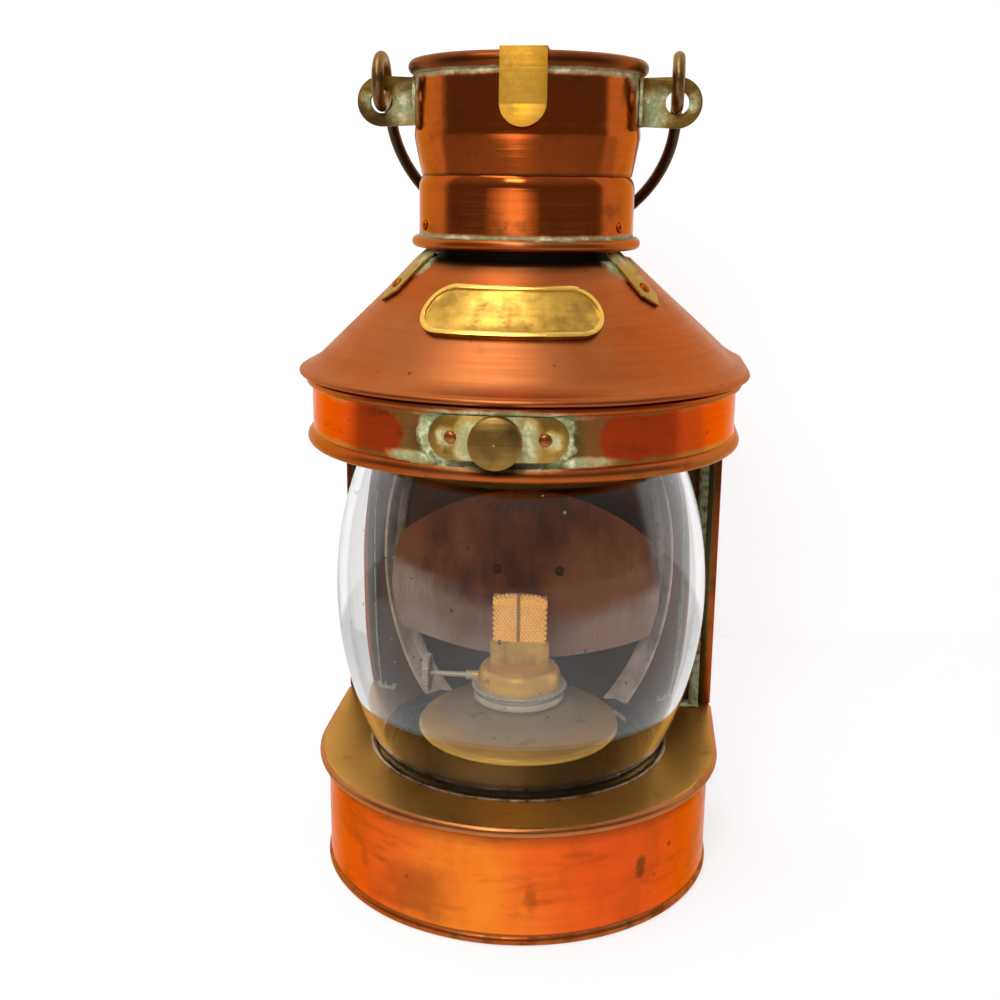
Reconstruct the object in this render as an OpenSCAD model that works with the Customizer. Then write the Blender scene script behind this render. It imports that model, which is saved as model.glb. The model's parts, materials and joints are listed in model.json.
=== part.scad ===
// Masthead lantern: an oil-burning ship's light in copper and brass.
// Millimetres. +Z is up, the glass faces -Y, and the origin is on the base's underside,
// at the centre of the rounded front. Base, band and roof share one U-shaped plan:
// a half circle in front, straight sides and a flat back with rounded corners.

/* [Plan] */
// Outside radius of the band, and so of the rounded front
band_r = 95; // [91:0.5:100]
// Distance from the front's centre to the band's flat back
back_y = 60; // [57:0.5:66]
// Radius of the band's two upright rear corners
corner_r = 10; // [9:0.5:14]
// Thickness of the sheet metal
sheet = 1.2; // [0.8:0.1:1.4]
// Gap left between two fixed pieces that seat on a curve
seat_gap = 0.2; // [0.1:0.05:0.3]
// Gap left between two pieces that move past each other
run_gap = 0.3; // [0.2:0.05:0.5]

/* [Base] */
// How far the base wall lies inside the band's outside
base_inset = 4; // [2:0.5:6]
// Height of the top plate's upper face
base_h = 57.4; // [54:0.2:64]
// Radius of the rolled bead round the foot
base_bead_r = 2.4; // [1.8:0.1:2.8]
// How far the bead's centre lies inside the base wall's outside
base_bead_inset = 1.4; // [0.8:0.1:1.8]
// How far the top plate's rolled edge stands out past the base wall
plate_overhang = 4.4; // [3.6:0.1:5]
// Height of the top plate's rolled edge
plate_edge_h = 5; // [4:0.2:6]

/* [Lamp well] */
// Gap round the glass where it enters the well
well_gap = 1.3; // [0.8:0.1:2]
// Width of the well's turned-out rim
well_rim_w = 1.2; // [0.8:0.1:1.2]
// Thickness of the well's turned-out rim
well_rim_t = 0.8; // [0.6:0.1:1]
// Depth of the glass's step below the top plate
well_step = 7.4; // [6.6:0.2:9]
// Height of the well's floor, on which the oil font stands
well_floor_z = 21.2; // [14:0.2:26]
// Room left round the font in the well
well_room = 1.9; // [1.5:0.1:2.1]
// Room left between the font and the well's flat back
font_room = 0.9; // [0.6:0.1:4]

/* [Glass] */
// How far the barrel glass's belly lies inside the band's outside
lens_inset = 9; // [8:0.5:12]
// Height of the glass
lens_h = 152.7; // [140:0.1:165]
// Share of the glass's height that lies below the belly
lens_belly_share = 0.53; // [0.48:0.01:0.58]
// Radius of the glass's bowed outline
lens_bow = 166.7; // [155:0.5:180]
// Wall of the glass
lens_wall = 4; // [3:0.2:5]
// Height of the glass's seat ring
lens_seat_h = 3.7; // [3:0.1:4.2]
// How far the seat ring reaches in past the glass
lens_seat_in = 1; // [0.5:0.1:4]
// Where the glass is cut off at the back, in front of the back panel
lens_cut = 4; // [3.5:0.1:5]
// Thickness of the rails and the ring that hold the glass
rail_t = 1.5; // [1.2:0.1:1.8]
// Depth of the rails from the back panel
rail_depth = 10; // [8:0.5:12]
// Width of the rail's lip behind the glass
rail_lip = 4; // [3:0.2:5]
// Height of the ring round the top of the glass
head_ring_h = 4; // [3:0.2:5]

/* [Back] */
// How far the back panel's face lies in front of the band's back
panel_inset = 8; // [7:0.1:8.5]
// How far the back panel's hems start inside the band's outside
panel_narrow = 1.8; // [1.4:0.2:4]
// Width of the hem folded round each upright edge
hem_w = 4.6; // [3:0.2:5]
// Thickness of that hem
hem_t = 2.8; // [2.4:0.1:3.2]
// Width of each post's leaf on the panel
post_w = 5.2; // [4:0.2:5.6]
// Depth of each post's forward leaf
post_d = 6; // [4:0.5:8]
// Length of each post's foot along the top plate
post_foot = 14.4; // [12:0.2:17]

/* [Reflector] */
// How much narrower than the glass's belly the reflector is, on each side
reflector_margin = 19.5; // [19:0.5:26]
// Half height of the reflector
reflector_half_h = 43; // [36:0.5:45]
// Height of the reflector's centre
reflector_z = 127; // [124:0.5:132]
// Radius of its hollow
reflector_r = 100; // [90:1:130]
// Radius of its arched top and bottom edges
reflector_arch_r = 109; // [90:1:130]
// Gap from its back to the panel
reflector_stand = 4; // [3:0.2:6]
// Distance between the two studs that carry it
reflector_stud_pitch = 32; // [24:1:44]
// Radius of those studs
reflector_stud_r = 4; // [3.2:0.1:5]

/* [Band] */
// Height of the band, from its floor to its upper edge
band_h = 26.2; // [25:0.2:30]
// Radius of the bead round the band's foot
band_bead_r = 3.3; // [2.8:0.1:3.5]
// Height of that bead's centre above the band's floor
band_bead_rise = 0.8; // [0.2:0.1:1.4]
// Radius of the bead round the band's top
band_top_bead_r = 2; // [1.6:0.1:2.2]
// How far the band's floor reaches in past the glass's outside
band_floor_in = 3.4; // [2.6:0.1:8]

/* [Roof] */
// How far the roof's flared rim stands out past the band
rim_overhang = 6; // [4:0.5:8]
// Height of the rim's edge above the band's upper edge
rim_rise = 4.8; // [4.6:0.1:6]
// How far inside the band's outside the cone ends and the flare starts
cone_foot_inset = 4.5; // [3.5:0.5:7]
// Height of that place above the band's upper edge
cone_foot_rise = 10.7; // [10:0.1:12]
// How much wider than the chimney's drum the cone's mouth is
mouth_over = 1; // [0.5:0.1:1.6]
// Height of the mouth above the start of the flare
cone_h = 41.1; // [36:0.5:46]
// Depth of the skirt that seats inside the band
skirt_depth = 6.2; // [5:0.2:6.4]
// Width of the flange that carries the flue collar in the cone's mouth
flue_flange = 6.9; // [5:0.1:9]
// Height of the flue collar
flue_h = 14; // [8:0.5:18]

/* [Label plate] */
// Where the plate's middle lies, as a share of the way from the mouth to the cone's foot
label_place = 0.414; // [0.36:0.01:0.55]
// Half height of the bare plate, along the slope
label_half_h = 12; // [9:0.5:13]
// Half of the angle between the centres of its round ends
label_half_a = 23.5; // [15:0.5:24]
// Thickness of the plate
label_t = 1.2; // [0.8:0.1:1.6]
// Width of its raised border
label_border_w = 2; // [1.4:0.1:2.6]
// Height of its raised border
label_border_h = 0.9; // [0.5:0.1:1.2]

/* [Straps] */
// Angle of the two front straps from the front
strap_angle = 62; // [55:1:70]
// Width of a strap
strap_w = 12; // [9:0.5:13]
// Thickness of a strap
strap_t = 1.4; // [1:0.1:1.6]
// Length of a strap on the roof
strap_length = 25; // [20:0.5:28]
// Length of a strap's pointed end
strap_point = 6; // [4:0.5:8]
// Height of a strap inside the chimney above the cone's mouth
strap_head = 19; // [17:0.5:24]

/* [Chimney] */
// Outside radius of the chimney's lower drum
drum_r = 47; // [46.4:0.1:47.4]
// Height of the vent gap under the drum's bead
vent_gap = 5.3; // [4.8:0.1:7]
// Radius of the bead round the drum's foot
drum_bead_r = 2.5; // [2:0.1:2.7]
// How far the bead's centre stands outside the drum wall's outside
drum_bead_out = 0.8; // [0.6:0.1:1]
// Height of the drum, up to the waist
drum_h = 30.7; // [28:0.5:34]
// How far the waist is drawn in from the drum
waist_in = 1; // [0.6:0.1:1.8]
// How much wider than the drum the upper cowl is
cowl_over = 1.5; // [1:0.1:2]
// Height of the flare above the waist
cowl_flare_h = 17.2; // [14:0.2:17.6]
// Height of the ridge's edge above the cowl's outside radius
cowl_ridge = 0.5; // [0.3:0.1:0.7]
// Height of the cowl up to the top bead's centre
cowl_h = 44.4; // [43.6:0.2:50]
// Radius of the bead round the chimney's top
top_bead_r = 3.3; // [2.8:0.1:3.4]

/* [Ears and bail] */
// Distance from the cowl to each ear's hole
ear_reach = 15.5; // [14:0.5:17.5]
// Radius of the hole in an ear
ear_hole_r = 5; // [4.4:0.1:5.4]
// Radius of the ear's round end
ear_end_r = 10.6; // [10:0.1:11]
// Thickness of an ear
ear_t = 3; // [2.4:0.2:3.4]
// Height of the ear at its root
ear_root_h = 20; // [16:0.5:21]
// Height of the hole below the top bead's centre
ear_drop = 13.6; // [13.4:0.1:15]
// Half width of the ear's flange on the chimney
ear_flange = 9; // [8:0.5:11]
// Radius of the bail's wire
wire_r = 2.6; // [2.2:0.1:2.7]
// Radius of the loop at each end, at the wire's centre
loop_r = 10.2; // [9.8:0.1:10.4]
// Straight length of each side of the bail
bail_leg = 22; // [20:0.5:26]
// Angle at which the bail hangs back below the horizontal
bail_droop = 58.5; // [50:0.5:58.5]

/* [Lid] */
// How far the lid's edge lies inside the middle of the top bead
lid_inset = 2; // [1.6:0.1:2.4]
// Thickness of the lid and of the pieces on it
lid_t = 0.9; // [0.7:0.1:1.1]
// Height of the lid's dome
lid_dome = 3; // [1:0.2:4]
// Width of the clasp
clasp_w = 19; // [15:0.5:22]
// How far the clasp sits to the right of the middle
clasp_x = 2.5; // [-3:0.5:3]
// Length of the clasp below the top bead's centre
clasp_drop = 26; // [22:0.5:30]
// Length of the flared thumb tab at its end
clasp_tab = 9; // [7:0.5:9.5]
// How far the thumb tab stands out
clasp_flare = 3.4; // [2:0.2:5]
// Outside radius of the lid's hinge barrel
lid_barrel_r = 2.4; // [2.2:0.1:2.6]
// Radius of the lid's hinge pin
lid_pin_r = 1.2; // [1:0.1:1.4]

/* [Latch] */
// Half width of the latch plate
latch_half_w = 27.5; // [25:0.5:29]
// Half height of the latch plate
latch_half_h = 8.9; // [7.5:0.1:8.9]
// Thickness of the latch plate
latch_t = 1.5; // [1.2:0.1:1.8]
// How far the latch sits to the left of the middle
latch_x = 1.5; // [0:0.5:3]
// Height of the latch above the band's floor
latch_rise = 15.2; // [15:0.1:15.6]
// How far the boss under the knob stands out from the band
latch_boss = 6; // [5:0.5:8]
// Radius of that boss
latch_boss_r = 8.5; // [7:0.1:9.5]
// Radius of the knob
knob_r = 10.4; // [9.8:0.1:11]
// Thickness of the knob's rim
knob_t = 5; // [4:0.2:6]
// Height of the knob's domed face
knob_dome = 2.2; // [1.2:0.1:2.6]
// Radius of the knob's spindle
spindle_r = 3; // [2.4:0.1:3.2]
// Length of the tongue on the spindle's inner end
tongue_length = 13; // [11:0.5:14]
// Width of the tongue
tongue_w = 5; // [4:0.2:5.4]
// Thickness of the tongue and of the keeper
tongue_t = 2; // [1.6:0.1:2.4]

/* [Roof hinge] */
// Width of the hinge
hinge_w = 36; // [30:1:40]
// Outside radius of the hinge's barrel
hinge_barrel_r = 3.2; // [2.8:0.1:3.6]
// Radius of the hinge's pin
hinge_pin_r = 1.6; // [1.2:0.1:1.8]
// Thickness of the hinge's leaves
hinge_t = 1.4; // [1.2:0.1:1.6]
// Share of the hinge's width that the roof's barrel takes
hinge_share = 0.32; // [0.26:0.02:0.4]

/* [Lamp] */
// Height of the font's wall
font_wall_h = 41; // [37:0.5:44]
// Height of the font's domed top
font_dome_h = 14.6; // [12:0.2:18]
// How far the font's neck lies inside the burner's collar
neck_in = 4.5; // [3.5:0.5:6]
// How far the burner's crimped collar stands out past the dome
collar_lip = 2; // [1:0.1:3]
// Height of the collar
collar_h = 3; // [2.4:0.2:4]
// How many crimps the collar has
collar_crimps = 32; // [24:1:40]
// Room between the wick's edge and the outside of the burner's dome
dome_room = 8.5; // [7.5:0.1:10]
// Height of the burner's dome
dome_h = 13.5; // [12.5:0.5:15]
// Width of the wick
wick_w = 26; // [24:0.5:26]
// Thickness of the wick
wick_t = 3; // [2.4:0.1:3.2]
// How far the wick stands above its tube
wick_show = 24; // [14:0.5:30]
// Length of the wick
wick_length = 90; // [80:1:92]
// How far the wick tube stands above the burner's dome
tube_show = 11; // [8:0.5:14]
// Thickness of the wick tube
tube_t = 0.8; // [0.6:0.1:0.9]
// Radius of the wick shaft
shaft_r = 1.3; // [1:0.1:1.5]
// Radius of the toothed wheels that move the wick
sprocket_r = 3.4; // [3:0.1:3.5]
// Distance between those two wheels
sprocket_pitch = 12; // [9:0.5:14]
// How many teeth a wheel has
sprocket_teeth = 10; // [8:1:14]
// Distance from the burner's axis to the thumb wheel
thumb_x = 44; // [40:0.5:46]
// Radius of the thumb wheel
thumb_r = 9.5; // [8:0.5:10]
// How many notches the thumb wheel has
thumb_notches = 30; // [20:1:40]

/* [Hidden] */
$fn = 96;
hull_fn = 64;

// Colours
copper = "#b4623a";
dark_copper = "#7a3f28";
brass = "#b08d3e";
dull_brass = "#8a7640";
bronze = "#5c4a38";
glass_tint = "#dfe8ea80";
cotton = "#d9a873";

// Small shared sizes
turn_gap = 0.06;
cut = 1;
skin = 0.01;
rivet_r = 2.6;
rivet_h = 1.3;

// Heights
floor_lift = 0.2;
base_bead_z = floor_lift + base_bead_r;
step_z = base_h - well_step;
lens_z0 = step_z + lens_seat_h + run_gap;
lens_z1 = lens_z0 + lens_h;
lens_belly_z = lens_z0 + lens_h * lens_belly_share;
band_floor_z = lens_z1 + run_gap;
band_top_z = band_floor_z + band_h;
band_bead_z = band_floor_z + band_bead_rise;
band_bead_x = -0.8;
band_top_bead_x = 0.6;
rim_z = band_top_z + rim_rise;
cone_z0 = band_top_z + cone_foot_rise;
cone_z1 = cone_z0 + cone_h;
drum_bead_z = cone_z1 + vent_gap + drum_bead_r;
waist_z = cone_z1 + vent_gap + drum_h;
top_bead_z = waist_z + cowl_h;
top_bead_x = -0.3;
ear_z = top_bead_z - ear_drop;
latch_z = band_floor_z + latch_rise;

// Distances from the front's centre towards the back
panel_y = back_y - panel_inset;
lens_back = panel_y - lens_cut;
well_back = panel_y - well_rim_w - seat_gap - sheet;

// Radii and half widths
base_r = band_r - base_inset;
lens_belly_r = band_r - lens_inset;
rim_r = band_r + rim_overhang;
cone_foot_r = band_r - cone_foot_inset;
cone_mouth_r = drum_r + mouth_over;
cone_wall = sheet * 1.42;
flue_r = cone_mouth_r - cone_wall - seat_gap - flue_flange;
label_r = cone_mouth_r + label_place * (cone_foot_r - cone_mouth_r);
waist_r = drum_r - waist_in;
cowl_r = drum_r + cowl_over;
ear_x = cowl_r + ear_reach;
lid_r = cowl_r + top_bead_x - lid_inset;
well_r = lens_r(base_h + well_rim_t) + well_gap;
lens_seat_r = lens_r(lens_z0) - lens_wall - lens_seat_in;
band_mouth_r = lens_r(lens_z1) - band_floor_in;
panel_half_w = band_r - panel_narrow;
reflector_half_w = lens_belly_r - reflector_margin;
font_r = well_back - font_room;
dome_r = wick_w / 2 + dome_room;
collar_r = dome_r + collar_lip;
neck_r = collar_r - neck_in;

// The plan: each outline is the band's outline set in or out by the same distance all round
function plan_back(r) = back_y + r - band_r;
function plan_corner(r) = corner_r + r - band_r;

// Outline of the barrel glass: a bow of one radius
function lens_r(z) = lens_belly_r - lens_bow + sqrt(pow(lens_bow, 2) - pow(z - lens_belly_z, 2));
function lens_line(off, z0, z1, steps = 20) =
  [for (i = [0:steps]) let (z = z0 + (z1 - z0) * i / steps) [lens_r(z) + off, z]];
function reversed(list) = [for (i = [len(list) - 1:-1:0]) list[i]];

// A smooth curve from a to c, drawn towards b on its way
function bend(a, b, c, steps = 8) =
  [for (i = [0:steps]) let (t = i / steps) a * pow(1 - t, 2) + b * 2 * t * (1 - t) + c * pow(t, 2)];

// Sweeps a profile, in (outwards, up), round the plan of radius r, with an opening at the back
module u_sweep(r, gap = 0) {
  corner = plan_corner(r);
  side = plan_back(r) - corner;
  rotate([0, 0, 180])
    rotate_extrude(angle = 180)
      translate([r, 0])
        children();
  for (s = [0, 1])
    mirror([s, 0, 0]) {
      translate([r, side, 0])
        rotate([90, 0, 0])
          linear_extrude(side)
            children();
      translate([r - corner, side, 0])
        rotate_extrude(angle = 90)
          translate([corner, 0])
            children();
      translate([gap / 2, plan_back(r), 0])
        rotate([90, 0, 90])
          linear_extrude(r - corner - gap / 2)
            children();
    }
}

// The part of the plan behind the front's centre
module rear_plan(r) {
  corner = plan_corner(r);
  side = plan_back(r) - corner;
  translate([-r, 0])
    square([2 * r, side]);
  translate([corner - r, 0])
    square([2 * (r - corner), side + corner]);
  for (s = [-1, 1])
    translate([s * (r - corner), side])
      circle(corner);
}

// The front half of a circle
module front_half(r) {
  intersection() {
    circle(r);
    translate([-r, -r])
      square([2 * r, r]);
  }
}

// The whole plan
module u_plan(r) {
  front_half(r);
  rear_plan(r);
}

// A circle cut straight at the back
module d_plan(r, y) {
  intersection() {
    circle(r);
    translate([-r, -r])
      square([2 * r, r + y]);
  }
}

// Everything in front of the plane y
module in_front_of(y) {
  reach = rim_r + cut;
  translate([-reach, -reach, 0])
    cube([2 * reach, reach + y, top_bead_z]);
}

// A domed rivet head on the plane z = 0
module rivet(r = rivet_r, h = rivet_h) {
  ball = (r * r + h * h) / (2 * h);
  intersection() {
    translate([0, 0, h - ball])
      sphere(ball);
    cylinder(r = r + cut, h = h + cut);
  }
}

// Places a piece on an upright wall of radius r, at an angle, with its z outwards
module on_wall(r, angle, z) {
  rotate([0, 0, angle])
    translate([r, 0, z])
      rotate([0, 90, 0])
        children();
}

// A shell between a line of points and the same line drawn in by t
module shell_of(points, t) {
  rotate_extrude()
    polygon(concat(points, [for (p = reversed(points)) [p[0] - t, p[1]]]));
}

// Base

module base_wall() {
  color(copper)
    u_sweep(base_r) {
      translate([-sheet, base_bead_z])
        square([sheet, base_h - sheet - base_bead_z]);
      translate([-base_bead_inset, base_bead_z])
        circle(base_bead_r);
    }
}

module base_floor() {
  color(dark_copper)
    linear_extrude(sheet)
      u_plan(base_r - base_bead_inset - base_bead_r - seat_gap);
}

module base_top() {
  edge_w = plate_overhang - seat_gap;
  nose = plate_edge_h / 2;
  color(dull_brass)
    difference() {
      union() {
        u_sweep(base_r + seat_gap)
          translate([0, base_h - plate_edge_h]) {
            square([edge_w - nose, plate_edge_h]);
            intersection() {
              translate([edge_w - nose, nose])
                circle(nose);
              square([edge_w, plate_edge_h]);
            }
          }
        translate([0, 0, base_h - sheet])
          linear_extrude(sheet)
            u_plan(base_r + seat_gap + (edge_w - nose) / 2);
      }
      translate([0, 0, base_h - sheet - cut])
        linear_extrude(sheet + 2 * cut)
          d_plan(well_r + sheet + seat_gap, well_back + sheet + seat_gap);
    }
}

module lamp_well() {
  cup_r = font_r + well_room;
  color(dull_brass)
    difference() {
      union() {
        translate([0, 0, base_h])
          linear_extrude(well_rim_t)
            d_plan(well_r + sheet + well_rim_w, well_back + sheet + well_rim_w);
        translate([0, 0, step_z - sheet])
          linear_extrude(base_h + well_rim_t - step_z + sheet)
            d_plan(well_r + sheet, well_back + sheet);
        translate([0, 0, well_floor_z - sheet])
          linear_extrude(step_z - well_floor_z + sheet)
            d_plan(cup_r + sheet, well_back + sheet);
      }
      translate([0, 0, step_z])
        linear_extrude(base_h + well_rim_t - step_z + cut)
          d_plan(well_r, well_back);
      translate([0, 0, well_floor_z])
        linear_extrude(base_h - well_floor_z)
          d_plan(cup_r, well_back);
    }
}

// Glass and what holds it

module lens_seat() {
  color(copper)
    translate([0, 0, step_z])
      linear_extrude(lens_seat_h)
        difference() {
          d_plan(well_r - seat_gap, well_back - seat_gap);
          circle(lens_seat_r);
        }
}

module lens_glass() {
  outside = lens_line(0, lens_z0, lens_z1);
  color(glass_tint)
    intersection() {
      shell_of(outside, lens_wall);
      in_front_of(lens_back);
    }
}

// One rail: a strip round the outside of the glass's rear edge, and a lip behind that edge
module lens_rail(side) {
  z0 = base_h + well_rim_t + run_gap;
  z1 = band_floor_z - head_ring_h - run_gap;
  strip = lens_line(seat_gap + rail_t, z0, z1);
  lip_y = lens_back + seat_gap;
  reach = lens_belly_r + 2 * rail_t;
  color(brass)
    mirror([side, 0, 0]) {
      intersection() {
        shell_of(strip, rail_t);
        translate([0, panel_y - rail_depth, 0])
          cube([reach, rail_depth, top_bead_z]);
      }
      intersection() {
        shell_of(strip, rail_t + rail_lip);
        translate([0, lip_y, 0])
          cube([reach, rail_t, top_bead_z]);
      }
    }
}

module lens_head_ring() {
  z0 = band_floor_z - head_ring_h;
  ring_r = lens_r(z0) + run_gap;
  color(brass)
    intersection() {
      translate([0, 0, z0])
        difference() {
          cylinder(r = ring_r + 2 * rail_t, h = head_ring_h);
          translate([0, 0, -cut])
            cylinder(r = ring_r, h = head_ring_h + 2 * cut);
        }
      in_front_of(lens_back);
    }
}

// Back

band_inside_r = band_r + band_bead_x - band_bead_r - seat_gap;

module back_panel() {
  low_h = band_bead_z - band_bead_r - run_gap - base_h;
  tab_half_w = panel_half_w - hem_w - seat_gap;
  color(dark_copper)
    translate([0, 0, base_h]) {
      translate([-panel_half_w, panel_y, 0])
        cube([2 * panel_half_w, sheet, low_h]);
      translate([-tab_half_w, panel_y, 0])
        cube([2 * tab_half_w, sheet, band_floor_z - base_h]);
      linear_extrude(low_h)
        for (s = [0, 1])
          mirror([s, 0])
            translate([panel_half_w - hem_w, panel_y + sheet / 2 - hem_t / 2]) {
              square([hem_w, hem_t]);
              translate([hem_w, hem_t / 2])
                circle(hem_t / 2);
            }
    }
}

post_x = panel_half_w - hem_w - seat_gap - post_w;
post_foot_d = post_d + sheet;

module post(side) {
  color(brass)
    mirror([side, 0, 0])
      translate([0, 0, base_h]) {
        translate([post_x, panel_y - sheet, 0])
          cube([post_w, sheet, band_floor_z - base_h]);
        translate([post_x, panel_y - post_foot_d, 0])
          cube([sheet, post_foot_d, band_floor_z - base_h]);
        translate([post_x + post_w - post_foot, panel_y - post_foot_d, 0])
          cube([post_foot, post_foot_d, sheet]);
      }
}

module post_rivets() {
  x = post_x + (post_w - post_foot) / 2;
  color(brass)
    for (s = [-1, 1])
      translate([s * x, panel_y - post_foot_d / 2, base_h + sheet])
        rivet();
}

// Reflector

reflector_back = panel_y - reflector_stand;
reflector_cy = reflector_back - sheet - reflector_r;

// A shallow dish with a round outline and flatter arches above and below
module reflector() {
  drop = reflector_arch_r - reflector_half_h;
  color(dark_copper)
    intersection() {
      translate([0, reflector_cy, reflector_z])
        difference() {
          sphere(reflector_r + sheet);
          sphere(reflector_r);
        }
      translate([0, panel_y, reflector_z])
        rotate([90, 0, 0])
          linear_extrude(panel_y)
            intersection() {
              circle(reflector_half_w);
              translate([0, drop])
                circle(reflector_arch_r);
              translate([0, -drop])
                circle(reflector_arch_r);
            }
    }
}

module reflector_studs() {
  color(brass)
    for (s = [-1, 1])
      difference() {
        translate([s * reflector_stud_pitch / 2, panel_y, reflector_z])
          rotate([90, 0, 0])
            cylinder(r = reflector_stud_r, h = 3 * reflector_stand);
        translate([0, reflector_cy, reflector_z])
          sphere(reflector_r + sheet + seat_gap);
      }
}

module reflector_rivets() {
  lean = asin(reflector_stud_pitch / 2 / reflector_r);
  color(brass)
    for (s = [-1, 1])
      translate([0, reflector_cy, reflector_z])
        rotate([0, 0, -s * lean])
          translate([0, reflector_r - seat_gap, 0])
            rotate([90, 0, 0])
              rivet();
}

// Band

module band_wall() {
  top_gap = hinge_w + 2 * hinge_barrel_r;
  color(copper)
    difference() {
      union() {
        u_sweep(band_r) {
          translate([-sheet, band_bead_z])
            square([sheet, band_top_z - band_bead_z]);
          translate([band_bead_x, band_bead_z])
            circle(band_bead_r);
        }
        u_sweep(band_r, top_gap)
          translate([band_top_bead_x, band_top_z])
            circle(band_top_bead_r);
      }
      translate([-latch_x, 0, latch_z])
        rotate([90, 0, 0])
          cylinder(r = spindle_r + run_gap, h = band_r + cut);
    }
}

module band_floor() {
  color(dull_brass)
    translate([0, 0, band_floor_z])
      linear_extrude(sheet)
        difference() {
          u_plan(band_inside_r);
          d_plan(band_mouth_r, lens_back - rail_lip);
        }
}

// Roof hinge

hinge_y = back_y + hinge_barrel_r;
hinge_z = band_top_z + hinge_barrel_r + seat_gap;
hinge_mid = hinge_w * hinge_share;

module barrel(x0, x1, r, bore, y, z) {
  translate([x0, y, z])
    rotate([0, 90, 0])
      difference() {
        cylinder(r = r, h = x1 - x0);
        translate([0, 0, -cut])
          cylinder(r = bore, h = x1 - x0 + 2 * cut);
      }
}

leaf_z0 = band_bead_z + band_bead_r + run_gap;

module hinge_leaf_lower() {
  side_w = (hinge_w - hinge_mid) / 2 - run_gap;
  bore = hinge_pin_r + turn_gap;
  color(brass)
    difference() {
      union() {
        translate([-hinge_w / 2, back_y, leaf_z0])
          cube([hinge_w, hinge_t, band_top_z - leaf_z0]);
        for (s = [0, 1])
          mirror([s, 0, 0]) {
            barrel(hinge_w / 2 - side_w, hinge_w / 2, hinge_barrel_r, bore, hinge_y, hinge_z);
            translate([hinge_w / 2 - side_w, back_y, band_top_z - cut])
              cube([side_w, hinge_t, hinge_z - band_top_z + cut]);
          }
      }
      translate([-hinge_w, hinge_y, hinge_z])
        rotate([0, 90, 0])
          cylinder(r = bore, h = 2 * hinge_w);
    }
}

module hinge_pin() {
  color(brass)
    translate([-hinge_w / 2 - hinge_t, hinge_y, hinge_z])
      rotate([0, 90, 0])
        cylinder(r = hinge_pin_r, h = hinge_w + 2 * hinge_t);
}

module hinge_rivets_lower() {
  rise = (band_top_z - leaf_z0) / 2;
  color(copper)
    for (s = [-1, 1])
      translate([s * hinge_w / 3, back_y + hinge_t, leaf_z0 + rise])
        rotate([-90, 0, 0])
          rivet();
}

// Places a piece on the roof's rear slope: x across, y up the slope, z outwards
rear_foot_y = plan_back(cone_foot_r);
rear_lean = atan2(rear_foot_y - cone_mouth_r, cone_h);

module on_rear_slope(up) {
  translate([0, rear_foot_y, cone_z0])
    rotate([90 + rear_lean, 0, 0])
      rotate([0, 180, 0])
        translate([0, up, 0])
          children();
}

upper_leaf_up = 0.1 * cone_h;
upper_leaf_h = 0.39 * cone_h;

module hinge_leaf_upper() {
  bore = hinge_pin_r + 2 * turn_gap;
  half = hinge_mid / 2;
  foot_y = rear_foot_y - upper_leaf_up * sin(rear_lean);
  foot_z = cone_z0 + upper_leaf_up * cos(rear_lean);
  lift = seat_gap + hinge_t;
  color(brass)
    difference() {
      union() {
        on_rear_slope(upper_leaf_up)
          translate([-hinge_w / 2 + hinge_t, 0, seat_gap])
            cube([hinge_w - 2 * hinge_t, upper_leaf_h, hinge_t]);
        translate([-half, 0, 0])
          rotate([90, 0, 90])
            linear_extrude(hinge_mid)
              polygon([
                [foot_y + seat_gap, foot_z],
                [foot_y + seat_gap, foot_z + hinge_t],
                [foot_y + lift, foot_z + 2 * hinge_t],
                [hinge_y, hinge_z + hinge_barrel_r],
                [hinge_y, hinge_z + hinge_pin_r],
                [hinge_y - hinge_t, hinge_z + hinge_pin_r]]);
        barrel(-half, half, hinge_barrel_r, bore, hinge_y, hinge_z);
      }
      translate([-hinge_w, hinge_y, hinge_z])
        rotate([0, 90, 0])
          cylinder(r = bore, h = 2 * hinge_w);
    }
}

module hinge_rivets_upper() {
  color(copper)
    for (s = [-1, 1])
      on_rear_slope(upper_leaf_up + upper_leaf_h / 2)
        translate([s * hinge_w / 4, 0, seat_gap + hinge_t])
          rivet();
}

// Latch

latch_y = -band_r - latch_boss;

module latch_outline() {
  end = latch_half_w - latch_half_h;
  translate([-end, -latch_half_h])
    square([2 * end, 2 * latch_half_h]);
  for (s = [-1, 1])
    translate([s * end, 0])
      circle(latch_half_h);
}

module latch_plate() {
  color(brass)
    difference() {
      union() {
        intersection() {
          translate([0, 0, latch_z - latch_half_h - cut])
            cylinder(r = band_r + seat_gap + latch_t, h = 2 * (latch_half_h + cut));
          translate([-latch_x, 0, latch_z])
            rotate([90, 0, 0])
              linear_extrude(band_r + cut + latch_t)
                latch_outline();
        }
        translate([-latch_x, latch_y, latch_z])
          rotate([-90, 0, 0])
            cylinder(r = latch_boss_r, h = 2 * latch_boss);
      }
      translate([0, 0, band_floor_z])
        cylinder(r = band_r + seat_gap, h = band_top_z - band_floor_z + cut);
      translate([-latch_x, 0, latch_z])
        rotate([90, 0, 0])
          cylinder(r = spindle_r + turn_gap, h = 2 * band_r);
    }
}

module latch_rivets() {
  r = band_r + seat_gap + latch_t;
  for (s = [-1, 1])
    color(copper)
      on_wall(r, -90 + asin((s * (latch_half_w - latch_half_h) - latch_x) / r), latch_z)
        rivet();
}

module latch_knob() {
  ball = (knob_r * knob_r + knob_dome * knob_dome) / (2 * knob_dome);
  color(bronze)
    translate([-latch_x, latch_y - run_gap, latch_z])
      rotate([90, 0, 0]) {
        cylinder(r = knob_r, h = knob_t);
        translate([0, 0, knob_t])
          intersection() {
            translate([0, 0, knob_dome - ball])
              sphere(ball);
            cylinder(r = knob_r, h = knob_dome);
          }
      }
}

tongue_y = -band_r + sheet + 4.4 * tongue_t;

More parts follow.
